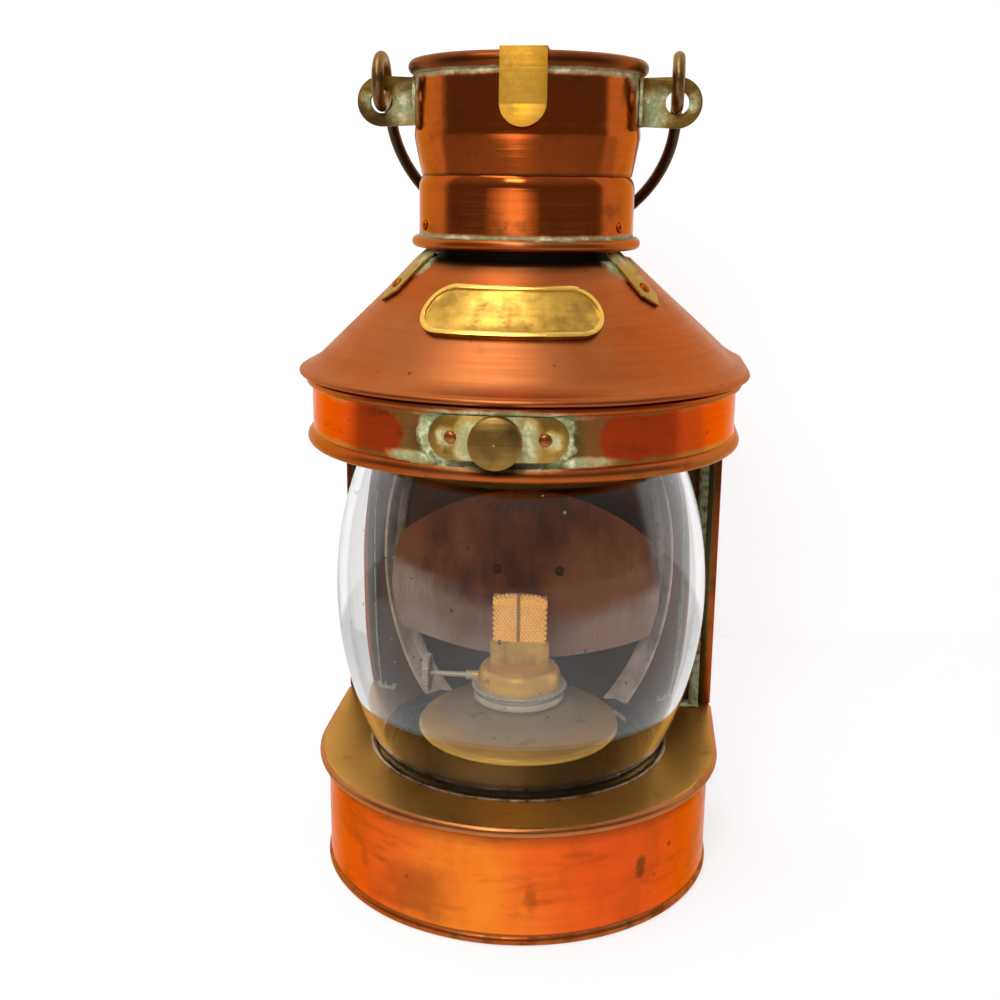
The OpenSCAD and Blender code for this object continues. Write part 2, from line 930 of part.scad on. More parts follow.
module latch_spindle() {
  color(bronze)
    translate([-latch_x, latch_y - run_gap, latch_z])
      rotate([-90, 0, 0])
        cylinder(r = spindle_r, h = tongue_y - latch_y + run_gap);
}

module latch_tongue() {
  color(brass)
    translate([-latch_x, tongue_y + tongue_t, latch_z])
      rotate([90, 0, 0])
        linear_extrude(tongue_t) {
          circle(tongue_w / 2);
          translate([-tongue_w / 2, 0])
            square([tongue_w, tongue_length - tongue_w / 2]);
          translate([0, tongue_length - tongue_w / 2])
            circle(tongue_w / 2);
        }
}

// Roof

function slope_r(s, t) = s * cos(cone_tilt) + t * sin(cone_tilt);
function slope_z(s, t) = t * cos(cone_tilt) - s * sin(cone_tilt);
cone_tilt = atan2(cone_h, cone_foot_r - cone_mouth_r);
function cone_z(r) = cone_z1 - (r - cone_mouth_r) * tan(cone_tilt);

hinge_notch = hinge_w + 2 * hinge_barrel_r;
rim_t = 1.3 * sheet;
rim_wire_r = 1.1 * sheet;

// Profile of the flared rim, measured out and up from the rim's edge
module rim_profile() {
  start = [cone_foot_r - rim_r, cone_z0];
  lead = 0.38 * (rim_r - cone_foot_r);
  steer = [start[0] + lead, cone_z0 - lead * tan(cone_tilt)];
  end = [0, rim_z];
  top = concat([[start[0] - cone_wall, cone_z0]], bend(start, steer, end));
  polygon(concat(top, [for (p = reversed(top)) [p[0], p[1] - rim_t]]));
  translate([-rim_wire_r, rim_z - rim_wire_r])
    circle(rim_wire_r);
}

// Rear of the cone, filled: from the plan's outline up to the round mouth
module rear_fill(foot_r, mouth_r, over) {
  hull($fn = hull_fn) {
    translate([0, 0, cone_z0 - over])
      linear_extrude(skin)
        rear_plan(foot_r, $fn = hull_fn);
    translate([0, 0, cone_z1 + over - skin])
      linear_extrude(skin)
        rotate(180)
          front_half(mouth_r, $fn = hull_fn);
  }
}

module roof_cone() {
  color(copper) {
    rotate([0, 0, 180])
      rotate_extrude(angle = 180)
        polygon([
          [cone_foot_r - cone_wall, cone_z0],
          [cone_foot_r, cone_z0],
          [cone_mouth_r, cone_z1],
          [cone_mouth_r - cone_wall, cone_z1]]);
    difference() {
      rear_fill(cone_foot_r, cone_mouth_r, 0);
      rear_fill(cone_foot_r - cone_wall, cone_mouth_r - cone_wall, skin);
    }
    u_sweep(rim_r, hinge_notch)
      rim_profile();
  }
}

skirt_play = 0.8;
skirt_r = band_r - sheet - skirt_play;
skirt_top_z = cone_z0 - 0.43 * cone_foot_rise;
seat_z = band_top_z + band_top_bead_r + seat_gap;

module roof_skirt() {
  color(dark_copper)
    u_sweep(skirt_r, hinge_notch) {
      translate([-sheet, band_top_z - skirt_depth])
        square([sheet, skirt_top_z - band_top_z + skirt_depth]);
      translate([-sheet, seat_z])
        square([2 * sheet + skirt_play + band_top_bead_r / 1.25, sheet]);
    }
}

keeper_w = tongue_length * 0.92;
keeper_x = tongue_length * 0.85;

module roof_keeper() {
  angle = asin((keeper_x - latch_x) / skirt_r);
  face = skirt_r - sheet - skirt_play * 0.65;
  low_z = latch_z - tongue_w * 0.82 - tongue_t;
  ledge = face + tongue_y + 1.75 * tongue_t;
  color(brass)
    rotate([0, 0, angle - 90]) {
      translate([face - tongue_t, -keeper_w / 2, low_z])
        cube([tongue_t, keeper_w, band_top_z + tongue_t - low_z]);
      translate([face - ledge, -keeper_w / 2, low_z])
        cube([ledge, keeper_w, tongue_t]);
    }
}

// A band of the label plate: s down the slope, t out of it, over the angle 2 * a
module label_strip(s0, s1, t0, t1, a) {
  z = cone_z(label_r);
  rotate([0, 0, -90 - a])
    rotate_extrude(angle = 2 * a)
      polygon([for (c = [[s0, t0], [s1, t0], [s1, t1], [s0, t1]])
        [label_r + slope_r(c[0], c[1]), z + slope_z(c[0], c[1])]]);
}

// Places a piece on the cone at an angle from the front, x down the slope, z outwards
module on_cone(angle, r) {
  rotate([0, 0, angle - 90])
    translate([r, 0, cone_z(r)])
      rotate([0, cone_tilt, 0])
        children();
}

// The label plate's two round ends, as rings from inside to outside
module label_ends(inside, outside, t0, t1) {
  reach = 2 * asin(label_half_h / label_r);
  intersection() {
    difference() {
      label_strip(-outside, outside, t0, t1, label_half_a + reach);
      label_strip(-outside - cut, outside + cut, t0 - cut, t1 + cut, label_half_a);
    }
    for (s = [-1, 1])
      on_cone(s * label_half_a, label_r)
        difference() {
          cylinder(r = outside, h = 4 * label_t, center = true);
          if (inside > 0)
            cylinder(r = inside, h = 5 * label_t, center = true);
        }
  }
}

module label_plate() {
  t0 = seat_gap;
  t1 = t0 + label_t;
  t2 = t1 + label_border_h;
  inner = label_half_h - label_border_w;
  color(brass) {
    label_strip(-label_half_h, label_half_h, t0, t1, label_half_a);
    label_ends(0, label_half_h, t0, t1);
    label_strip(-label_half_h, -inner, t1 - skin, t2, label_half_a);
    label_strip(inner, label_half_h, t1 - skin, t2, label_half_a);
    label_ends(inner, label_half_h, t1 - skin, t2);
  }
}

module flue_collar() {
  flange_r = cone_mouth_r - cone_wall - seat_gap;
  color(dark_copper)
    rotate_extrude()
      translate([0, cone_z1 - sheet]) {
        translate([flue_r - sheet, 0])
          square([flange_r - flue_r + sheet, sheet]);
        translate([flue_r - sheet, 0])
          square([sheet, flue_h]);
      }
}

// Straps that carry the chimney on the cone

bead_inside = drum_r + drum_bead_out - drum_bead_r - run_gap;
riser_r = sqrt(pow(bead_inside, 2) - pow(strap_w / 2, 2));

// One strap at a bearing, on a slope that falls at the angle tilt from the mouth's edge
module strap(bearing, tilt, length) {
  along = [cos(tilt), -sin(tilt)];
  out = [sin(tilt), cos(tilt)];
  low = [cone_mouth_r, cone_z1] + seat_gap * out;
  high = low + strap_t * out;
  end = length + strap_t;
  elbow = drum_bead_z - 1.24 * drum_bead_r;
  color(brass)
    rotate([0, 0, bearing])
      difference() {
        rotate([90, 0, 0])
          linear_extrude(strap_w, center = true)
            polygon([
              low + end * along,
              high + end * along,
              high,
              [riser_r, elbow],
              [riser_r, cone_z1 + strap_head],
              [riser_r - strap_t, cone_z1 + strap_head],
              [riser_r - strap_t, elbow - 0.43 * strap_t],
              low]);
        translate([cone_mouth_r, 0, cone_z1])
          rotate([0, tilt, 0])
            translate([0, 0, -strap_t])
              linear_extrude(4 * strap_t)
                polygon([
                  [length, 0],
                  [length - 2 * strap_point, strap_w],
                  [end + strap_t, strap_w],
                  [end + strap_t, -strap_w],
                  [length - 2 * strap_point, -strap_w]]);
      }
}

rear_tilt = 90 - rear_lean;
rear_strap_length = strap_length * 0.8;
strap_rivet_in = strap_length * 0.4;

module strap_rivets() {
  lift = seat_gap + strap_t;
  color(copper) {
    for (s = [-1, 1])
      on_cone(s * strap_angle, cone_mouth_r)
        translate([strap_length - strap_rivet_in, 0, lift])
          rivet();
    rotate([0, 0, 90])
      translate([cone_mouth_r, 0, cone_z1])
        rotate([0, rear_tilt, 0])
          translate([rear_strap_length - strap_rivet_in, 0, lift])
            rivet();
  }
}

// Chimney

module chimney_drum() {
  wall = concat(
    [[drum_r, drum_bead_z]],
    bend([drum_r, waist_z - drum_h / 4], [drum_r, waist_z - drum_h / 15], [waist_r, waist_z]));
  color(copper) {
    shell_of(wall, sheet);
    rotate_extrude()
      translate([drum_r + drum_bead_out, drum_bead_z])
        circle(drum_bead_r);
  }
}

module chimney_rivets() {
  z = drum_bead_z + drum_bead_r + 1.8 * rivet_r;
  color(copper)
    for (bearing = [-90 - strap_angle, -90 + strap_angle, 90])
      on_wall(drum_r, bearing, z)
        rivet(r = 2.2);
}

module chimney_cowl() {
  ridge_z = waist_z + cowl_flare_h;
  ridge_r = cowl_r + cowl_ridge;
  wall = concat(
    bend([waist_r, waist_z], [waist_r + 1, waist_z + cowl_flare_h / 3], [ridge_r, ridge_z]),
    [[cowl_r, ridge_z + 4 * cowl_ridge], [cowl_r, top_bead_z]]);
  color(copper) {
    shell_of(wall, sheet);
    rotate_extrude()
      translate([cowl_r + top_bead_x, top_bead_z])
        circle(top_bead_r);
  }
}

// Ears

module ear(side) {
  root_x = cowl_r + seat_gap;
  color(brass)
    mirror([side, 0, 0])
      difference() {
        union() {
          rotate([90, 0, 0])
            linear_extrude(ear_t, center = true) {
              polygon([
                [root_x + sheet / 2, ear_z - ear_root_h / 2],
                [ear_x, ear_z - ear_end_r],
                [ear_x, ear_z + ear_end_r],
                [root_x + sheet / 2, ear_z + ear_root_h / 2]]);
              translate([ear_x, ear_z])
                circle(ear_end_r);
            }
          intersection() {
            translate([0, 0, ear_z - ear_root_h / 2])
              difference() {
                cylinder(r = root_x + sheet, h = ear_root_h);
                translate([0, 0, -cut])
                  cylinder(r = root_x, h = ear_root_h + 2 * cut);
              }
            translate([0, -ear_flange, ear_z - ear_root_h])
              cube([2 * ear_x, 2 * ear_flange, 2 * ear_root_h]);
          }
        }
        translate([ear_x, ear_t, ear_z])
          rotate([90, 0, 0])
            cylinder(r = ear_hole_r, h = 2 * ear_t);
      }
}

module ear_rivets() {
  r = cowl_r + seat_gap + sheet;
  lean = asin((ear_flange - rivet_r) / r);
  color(copper)
    for (bearing = [-lean, lean, 180 - lean, 180 + lean])
      on_wall(r, bearing, ear_z)
        rivet(r = 2, h = 1);
}

// Bail: two straight sides, a half circle between them, and a loop in each ear

wire_rest = 0.5;
bail_pivot_z = ear_z - ear_hole_r + wire_r + wire_rest + loop_r;
loop_turn = 300;

module bail() {
  color(bronze)
    translate([0, 0, bail_pivot_z])
      rotate([-bail_droop, 0, 0])
        translate([0, 0, loop_r]) {
          for (s = [-1, 1])
            translate([s * ear_x, 0, 0]) {
              rotate([-90, 0, 0])
                cylinder(r = wire_r, h = bail_leg);
              translate([0, 0, -loop_r])
                rotate([0, -90, 0])
                  rotate_extrude(angle = -loop_turn)
                    translate([loop_r, 0])
                      circle(wire_r, $fn = 48);
            }
          translate([0, bail_leg, 0])
            rotate_extrude(angle = 180)
              translate([ear_x, 0])
                circle(wire_r, $fn = 48);
        }
}

// Lid of the chimney, its hinge and its clasp

bead_top_z = top_bead_z + top_bead_r;
bead_out_r = cowl_r + top_bead_x + top_bead_r;
lid_z = top_bead_z + sqrt(pow(top_bead_r, 2) - pow(lid_inset, 2)) + run_gap;
lid_top_z = max(lid_z + lid_t, bead_top_z + run_gap);
lid_barrel_y = bead_out_r + lid_barrel_r + 4 * run_gap;
lid_barrel_z = lid_top_z;
lid_lap = 0.17 * lid_r;
lid_barrel_half = 0.42 * clasp_w;
lid_strap_half = 0.16 * clasp_w;

module lid_hinge_bracket() {
  leaf_r = cowl_r + seat_gap;
  low_z = top_bead_z - cowl_h / 2;
  high_z = top_bead_z - cowl_h / 5.5;
  bore = lid_pin_r + turn_gap;
  cheek = lid_barrel_half - lid_strap_half - run_gap;
  color(brass)
    difference() {
      union() {
        intersection() {
          translate([0, 0, low_z])
            difference() {
              cylinder(r = leaf_r + sheet, h = high_z - low_z);
              translate([0, 0, -cut])
                cylinder(r = leaf_r, h = high_z - low_z + 2 * cut);
            }
          translate([-lid_barrel_half, 0, low_z - cut])
            cube([2 * lid_barrel_half, 2 * cowl_r, 2 * cowl_h]);
        }
        for (s = [0, 1])
          mirror([s, 0, 0]) {
            translate([lid_strap_half + run_gap, 0, 0])
              rotate([90, 0, 90])
                linear_extrude(cheek)
                  polygon([
                    [leaf_r + sheet / 2, low_z],
                    [leaf_r + sheet, low_z],
                    [lid_barrel_y + lid_barrel_r, top_bead_z - top_bead_r],
                    [lid_barrel_y + lid_barrel_r, lid_barrel_z],
                    [lid_barrel_y - lid_barrel_r, lid_barrel_z],
                    [lid_barrel_y - lid_barrel_r, top_bead_z],
                    [leaf_r + sheet / 2, high_z]]);
            barrel(lid_strap_half + run_gap, lid_barrel_half, lid_barrel_r, bore,
              lid_barrel_y, lid_barrel_z);
          }
      }
      translate([-lid_barrel_half - cut, lid_barrel_y, lid_barrel_z])
        rotate([0, 90, 0])
          cylinder(r = bore, h = 2 * (lid_barrel_half + cut));
    }
}

module lid_hinge_pin() {
  color(brass)
    translate([-lid_barrel_half - sheet, lid_barrel_y, lid_barrel_z])
      rotate([0, 90, 0])
        cylinder(r = lid_pin_r, h = 2 * (lid_barrel_half + sheet));
}

module chimney_lid() {
  flat_r = 0.78 * lid_r;
  ball = (flat_r * flat_r + lid_dome * lid_dome) / (2 * lid_dome);
  rise = [for (i = [0:8]) let (r = flat_r * (1 - i / 8))
    [r, lid_z + lid_dome - ball + sqrt(ball * ball - r * r)]];
  under = concat([[lid_r, lid_z]], rise);
  over = [for (p = reversed(under)) [p[0], p[1] + lid_t]];
  color(copper)
    rotate_extrude()
      polygon(concat(under, over));
}

module lid_hinge_strap() {
  bore = lid_pin_r + 2 * turn_gap;
  color(brass)
    difference() {
      union() {
        translate([-lid_strap_half, lid_r - lid_lap, lid_top_z])
          cube([2 * lid_strap_half, lid_barrel_y - lid_r + lid_lap, lid_t]);
        barrel(-lid_strap_half, lid_strap_half, lid_barrel_r, bore, lid_barrel_y, lid_barrel_z);
      }
      translate([-lid_barrel_half, lid_barrel_y, lid_barrel_z])
        rotate([0, 90, 0])
          cylinder(r = bore, h = 2 * lid_barrel_half);
    }
}

module lid_clasp() {
  y0 = lid_r - lid_lap;
  y1 = bead_out_r + run_gap;
  low_z = top_bead_z - clasp_drop;
  knee_z = low_z + clasp_tab;
  top = lid_top_z;
  color(brass)
    intersection() {
      translate([clasp_x - clasp_w, 0, 0])
        rotate([90, 0, 90])
          linear_extrude(2 * clasp_w)
            polygon([
              [-y0, top],
              [-y1, top],
              [-y1, knee_z],
              [-y1 - clasp_flare, low_z],
              [-y1 - clasp_flare - lid_t, low_z],
              [-y1 - lid_t, knee_z],
              [-y1 - lid_t, top + lid_t],
              [-y0, top + lid_t]]);
      translate([clasp_x, 0, low_z + clasp_w / 2])
        rotate([90, 0, 0])
          linear_extrude(2 * bead_out_r) {
            circle(clasp_w / 2);
            translate([-clasp_w / 2, 0])
              square([clasp_w, cowl_h]);
          }
    }
}

module lid_rivets() {
  color(copper) {
    for (s = [-1, 1])
      translate([clasp_x + s * clasp_w / 4, lid_lap / 2 - lid_r, lid_top_z + lid_t])
        rivet(r = 2, h = 1);
    translate([0, lid_r - lid_lap / 2, lid_top_z + lid_t])
      rivet(r = 2, h = 1);
  }
}

// Lamp

font_top_z = well_floor_z + font_wall_h + font_dome_h;
neck_h = 1.7;
collar_z = font_top_z + neck_h;
dome_z = collar_z + collar_h;
tube_top_z = dome_z + dome_h + tube_show;
wick_top_z = tube_top_z + wick_show;
tube_half_w = wick_w / 2 + run_gap + tube_t;
tube_half_t = wick_t / 2 + run_gap + tube_t;
shaft_y = wick_t / 2 + run_gap + sprocket_r;
shaft_z = dome_z + sprocket_r + 0.6;

module font() {
  shoulder_z = well_floor_z + font_wall_h;
  mouth_r = wick_w / 2 + 1;
  dome = concat(
    bend(
      [font_r, shoulder_z],
      [font_r, shoulder_z + 0.31 * font_dome_h],
      [font_r * 0.94, shoulder_z + 0.4 * font_dome_h], 4),
    [[neck_r * 1.2, font_top_z - font_dome_h / 24], [neck_r, font_top_z]]);
  inside = [for (p = reversed(dome)) [p[0] - sheet, p[1] - sheet]];
  color(brass)
    rotate_extrude()
      polygon(concat(
        [[0, well_floor_z], [font_r, well_floor_z]],
        dome,
        [[neck_r, collar_z], [mouth_r, collar_z], [mouth_r, font_top_z - sheet]],
        inside,
        [[font_r - sheet, well_floor_z + sheet], [0, well_floor_z + sheet]]));
}

// A slot with round ends, centred on the wick
module slot(half_w, half_t) {
  translate([half_t - half_w, -half_t])
    square([2 * (half_w - half_t), 2 * half_t]);
  for (s = [-1, 1])
    translate([s * (half_w - half_t), 0])
      circle(half_t, $fn = 32);
}

// A toothed or notched disc's outline
module notched(r, count, depth) {
  polygon([for (i = [0:4 * count - 1])
    let (a = 90 * i / count, at = i % 4 < 2 ? r : r - depth) at * [cos(a), sin(a)]]);
}

module burner_collar() {
  color(dull_brass)
    translate([0, 0, collar_z])
      linear_extrude(collar_h)
        difference() {
          notched(collar_r, collar_crimps, 0.8);
          slot(wick_w / 2 + run_gap, wick_t / 2 + run_gap);
        }
}

sleeve_r = 2 * shaft_r;
sleeve_x = dome_r * 1.256;

module burner_dome() {
  top_r = tube_half_w + 2 * tube_t;
  line = concat(
    [[dome_r, dome_z]],
    bend(
      [dome_r, dome_z + 0.3 * dome_h],
      [dome_r * 0.955, dome_z + 0.926 * dome_h],
      [top_r, dome_z + dome_h]));
  color(dull_brass)
    difference() {
      union() {
        shell_of(line, sheet);
        translate([0, 0, dome_z + dome_h - sheet])
          cylinder(r = top_r, h = sheet);
        translate([-sleeve_x, shaft_y, shaft_z])
          rotate([0, 90, 0])
            cylinder(r = sleeve_r, h = sleeve_x - tube_half_w - tube_t);
      }
      translate([0, 0, dome_z + dome_h - 2 * sheet])
        linear_extrude(4 * sheet)
          slot(tube_half_w + seat_gap, tube_half_t + seat_gap);
      translate([-sleeve_x - cut, shaft_y, shaft_z])
        rotate([0, 90, 0])
          cylinder(r = shaft_r + turn_gap, h = sleeve_x);
    }
}

module wick_tube() {
  window = sprocket_r + run_gap;
  color(brass)
    difference() {
      translate([0, 0, dome_z])
        linear_extrude(tube_top_z - dome_z)
          difference() {
            slot(tube_half_w, tube_half_t);
            slot(wick_w / 2 + run_gap, wick_t / 2 + run_gap);
          }
      for (s = [-1, 1])
        translate([s * sprocket_pitch / 2 - 1.4, 0, shaft_z - window])
          cube([2.8, shaft_y, 2 * window]);
    }
}

module wick_shaft() {
  color(brass) {
    translate([-thumb_x, shaft_y, shaft_z])
      rotate([0, 90, 0])
        cylinder(r = shaft_r, h = thumb_x + sprocket_pitch / 2 + 3);
    for (s = [-1, 1])
      translate([s * sprocket_pitch / 2 - 0.8, shaft_y, shaft_z])
        rotate([0, 90, 0])
          linear_extrude(1.6)
            notched(sprocket_r, sprocket_teeth, 0.9);
  }
}

module thumb_wheel() {
  hub_r = 3;
  color(dull_brass)
    translate([-thumb_x, shaft_y, shaft_z])
      rotate([0, -90, 0]) {
        cylinder(r = hub_r, h = 2);
        translate([0, 0, 1])
          linear_extrude(2)
            notched(thumb_r, thumb_notches, 0.7);
      }
}

module wick() {
  half = wick_w / 2;
  edge = wick_length - wick_t / 2;
  crown = bend([half, edge], [0, wick_length + wick_t / 2], [-half, edge]);
  color(cotton)
    translate([0, 0, wick_top_z - wick_length])
      intersection() {
        linear_extrude(wick_length + wick_t)
          slot(half, wick_t / 2);
        translate([0, wick_t, 0])
          rotate([90, 0, 0])
            linear_extrude(2 * wick_t)
              polygon(concat([[-half, 0], [half, 0]], crown));
      }
}

base_wall();
base_floor();
base_top();
lamp_well();
lens_seat();
lens_glass();
lens_rail(1);  // lens_rail_left
lens_rail(0);  // lens_rail_right
lens_head_ring();
back_panel();
post(1);  // post_left
post(0);  // post_right
post_rivets();
reflector();
reflector_studs();
reflector_rivets();
band_wall();
band_floor();
latch_plate();
latch_rivets();
hinge_leaf_lower();
hinge_pin();
hinge_rivets_lower();
font();
burner_collar();
burner_dome();
wick_tube();
roof_cone();
roof_skirt();
roof_keeper();
label_plate();
flue_collar();
strap(-90 - strap_angle, cone_tilt, strap_length);  // strap_left
strap(-90 + strap_angle, cone_tilt, strap_length);  // strap_right
strap(90, rear_tilt, rear_strap_length);  // strap_rear
strap_rivets();
chimney_drum();
chimney_rivets();
chimney_cowl();
ear(1);  // ear_left
ear(0);  // ear_right
ear_rivets();
hinge_leaf_upper();
hinge_rivets_upper();
lid_hinge_bracket();
lid_hinge_pin();
chimney_lid();
lid_hinge_strap();
lid_clasp();
lid_rivets();
bail();
latch_knob();
latch_spindle();
latch_tongue();
wick_shaft();
thumb_wheel();
wick();
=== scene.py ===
"""Looks of a copper and brass masthead lantern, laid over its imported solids.

The file is laid out as an add-on, so that its sizes and colours sit in the 3D view's sidebar, and it is run as a
script. Lengths inside the building functions are millimetres, and every mesh is made in metres.
"""

import json
import math
import types
from functools import cache, reduce

import bmesh
import bpy
from mathutils import Matrix, Vector, noise


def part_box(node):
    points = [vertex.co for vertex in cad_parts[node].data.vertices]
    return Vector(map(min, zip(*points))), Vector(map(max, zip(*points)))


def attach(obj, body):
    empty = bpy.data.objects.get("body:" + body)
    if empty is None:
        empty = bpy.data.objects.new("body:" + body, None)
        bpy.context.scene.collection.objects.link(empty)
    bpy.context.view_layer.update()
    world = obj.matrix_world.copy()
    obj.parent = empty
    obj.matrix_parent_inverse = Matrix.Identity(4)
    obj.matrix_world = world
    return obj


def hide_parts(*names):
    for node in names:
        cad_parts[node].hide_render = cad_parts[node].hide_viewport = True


bl_info = {
    "name": "Masthead lantern",
    "version": (1, 0, 0),
    "blender": (4, 5, 0),
    "location": "3D View > Sidebar > Lantern",
    "description": "Builds the sheet metal, glass, lamp and finishes of an oil lantern round its solids",
    "category": "Object",
}

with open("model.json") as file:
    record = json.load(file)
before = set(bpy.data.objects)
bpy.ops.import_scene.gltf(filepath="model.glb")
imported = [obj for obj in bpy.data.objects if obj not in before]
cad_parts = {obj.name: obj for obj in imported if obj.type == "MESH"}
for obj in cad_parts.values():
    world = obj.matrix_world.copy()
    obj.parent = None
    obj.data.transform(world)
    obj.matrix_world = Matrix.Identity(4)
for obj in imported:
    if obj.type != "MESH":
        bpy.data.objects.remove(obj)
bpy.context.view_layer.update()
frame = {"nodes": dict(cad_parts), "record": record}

MM = 0.001
HAND_SEED = 5
NODES = frame["nodes"]
BODY_OF = {node: body for body, nodes in frame["record"]["behaviour"]["bodies"].items() for node in nodes}


# Sizes and colours that a user would change


def size(label, about, millimetres):
    """A length property, given in millimetres."""
    return bpy.props.FloatProperty(
        name=label, description=about, default=millimetres * MM, min=0.0, soft_max=0.5, precision=5, unit="LENGTH"
    )


def hue(label, about, red, green, blue):
    """A colour property, in linear values."""
    return bpy.props.FloatVectorProperty(
        name=label, description=about, default=(red, green, blue), size=3, min=0.0, max=1.0, subtype="COLOR"
    )


class LanternSizes(bpy.types.PropertyGroup):
    """Main sizes of the lantern, the same as in its solids."""

    band_radius: size("Band radius", "Outside radius of the band's round front", 95)
    back_depth: size("Back depth", "From the chimney's axis to the band's flat back", 60)
    corner_radius: size("Corner radius", "Radius of the two rear corners", 10)
    sheet: size("Sheet", "Thickness of the copper and brass sheet", 1.2)
    base_radius: size("Base radius", "Outside radius of the base's round front", 91)
    base_height: size("Base height", "Top of the base plate", 57.4)
    plate_edge: size("Plate edge", "Height of the base plate's rolled edge", 5)
    foot_bead: size("Foot bead", "Radius of the bead at the foot of the base", 2.4)
    well_radius: size("Well radius", "Radius of the round hole in the base plate", 69.97)
    well_back: size("Well back", "Where the hole in the base plate is cut straight", 50.8)
    belly_radius: size("Belly radius", "Largest radius of the barrel glass", 86)
    belly_height: size("Belly height", "Height of the glass's largest radius", 134.93)
    bow_radius: size("Bow radius", "Radius of the glass's upright curve", 166.7)
    glass_wall: size("Glass wall", "Thickness of the glass", 4)
    glass_foot: size("Glass foot", "Lower end of the glass", 54)
    glass_head: size("Glass head", "Upper end of the glass", 206.7)
    glass_cut: size("Glass cut", "Where the glass is cut flat behind", 48)
    dish_radius: size("Dish radius", "Radius of the reflector's hollow", 100)
    dish_centre: size("Dish centre", "Distance of the hollow's centre in front of the axis", 53.2)
    dish_height: size("Dish height", "Height of the reflector's middle", 127)
    dish_width: size("Dish width", "Half width of the reflector", 66.5)
    dish_arch: size("Dish arch", "Radius of the reflector's upper and lower edges", 109)
    dish_reach: size("Dish reach", "Half height of the reflector", 43)
    band_foot: size("Band foot", "Middle height of the band's lower bead", 207.8)
    band_head: size("Band head", "Middle height of the band's upper bead", 233.2)
    hinge_gap: size("Hinge gap", "Opening in the bead and the brim for the roof hinge", 42.4)
    rim_radius: size("Rim radius", "Outside radius of the roof's brim", 101)
    rim_height: size("Rim height", "Height of the brim's edge", 238)
    eave_radius: size("Eave radius", "Radius where the slope turns into the brim", 90.5)
    eave_height: size("Eave height", "Height where the slope turns into the brim", 243.9)
    mouth_radius: size("Mouth radius", "Radius of the roof's upper opening", 48)
    mouth_height: size("Mouth height", "Height of the roof's upper opening", 285)
    drum_radius: size("Drum radius", "Radius of the chimney's lower part", 47)
    drum_foot: size("Drum foot", "Middle height of the chimney's lower bead", 292.8)
    waist_radius: size("Waist radius", "Radius of the joint in the chimney", 46)
    waist_height: size("Waist height", "Height of the joint in the chimney", 321)
    ridge_radius: size("Ridge radius", "Radius of the ridge on the chimney's upper part", 49)
    ridge_height: size("Ridge height", "Height of that ridge", 338.2)
    cowl_radius: size("Cowl radius", "Radius of the chimney's upper part", 48.5)
    cowl_head: size("Cowl head", "Middle height of the chimney's top bead", 365.4)
    ear_reach: size("Ear reach", "From the axis to the middle of an ear's hole", 64)
    bail_wire: size("Bail wire", "Radius of the bail's rod", 2.6)
    bail_pivot: size("Bail pivot", "Height that the bail turns about", 360.1)
    bail_leg: size("Bail leg", "Straight side of the bail", 22)
    bail_loop: size("Bail loop", "Radius of the bail's end loops", 10.2)
    wick_width: size("Wick width", "Width of the woven wick", 26)
    wick_depth: size("Wick depth", "Thickness of the woven wick", 3)
    wick_top: size("Wick top", "Height of the wick's upper end", 130)


class LanternColours(bpy.types.PropertyGroup):
    """Colours of the lantern's finishes."""

    bright_copper: hue("Bright copper", "Rubbed copper of the base", 0.95, 0.148, 0.018)
    # Also the painted highlight down the middle of the base's front.
    gold_highlight_copper: hue("Gold copper", "Brightest rubbed middle of the base", 1.0, 0.27, 0.022)
    red_copper: hue("Red copper", "Deep red copper of the base and band", 0.82, 0.09, 0.012)
    roof_copper: hue("Roof copper", "Satin brown copper of the roof", 0.46, 0.135, 0.038)
    chimney_copper: hue("Chimney copper", "Polished brown copper of the chimney", 0.48, 0.093, 0.014)
    brown_copper: hue("Brown copper", "Browned patches on all copper", 0.16, 0.042, 0.012)
    dark_copper: hue("Dark copper", "Sooty copper behind the glass", 0.52, 0.19, 0.06)
    clasp_brass: hue("Clasp brass", "Deep yellow brass of the clasp", 0.76, 0.345, 0.02)
    gold_brass: hue("Gold brass", "Rubbed bright brass", 0.98, 0.60, 0.12)
    yellow_brass: hue("Yellow brass", "Clean brass", 0.78, 0.44, 0.075)
    olive_brass: hue("Olive brass", "Dull brass", 0.46, 0.255, 0.055)
    plate_brass: hue("Plate brass", "Brown brass of the base plate", 0.64, 0.33, 0.07)
    dusty_brass: hue("Dusty brass", "Brass under dust, behind the glass", 0.34, 0.25, 0.15)
    dark_brass: hue("Dark brass", "Darkened brass in corners", 0.085, 0.055, 0.018)
    pale_green: hue("Pale green", "Dry verdigris", 0.50, 0.52, 0.32)
    mint_green: hue("Mint green", "Fresh verdigris", 0.24, 0.36, 0.21)
    deep_green: hue("Deep green", "Old verdigris", 0.12, 0.14, 0.05)
    bronze: hue("Bronze", "Rubbed bronze", 0.33, 0.18, 0.06)
    dark_bronze: hue("Dark bronze", "Darkened bronze", 0.075, 0.058, 0.035)
    grey_tin: hue("Grey tin", "Dusty tinned metal of the wick drive", 0.44, 0.38, 0.29)
    # On the reflector this is also the grey of a painted reflection of the floor.
    old_tin_and_reflection: hue("Old tin", "Tinning left on the reflector", 0.62, 0.47, 0.40)
    cotton: hue("Cotton", "Unburnt wick", 1.0, 0.50, 0.11)
    # Also the black of painted shade under the latch and under the font's lip.
    black_soot_and_shade: hue("Black soot", "Lamp black in the flue", 0.02, 0.013, 0.009)
    soot: hue("Soot", "Burnt top of the wick", 0.10, 0.06, 0.035)
    floor: hue("Floor", "Pale floor and backdrop", 0.88, 0.86, 0.865)


def measures():
    """The sizes as plain numbers in millimetres."""
    group = bpy.context.scene.lantern_sizes
    return types.SimpleNamespace(**{name: getattr(group, name) / MM for name in LanternSizes.__annotations__})


def colours():
    """The colours as plain four-number tuples."""
    group = bpy.context.scene.lantern_colours
    return types.SimpleNamespace(**{name: (*getattr(group, name), 1.0) for name in LanternColours.__annotations__})


# Meshes

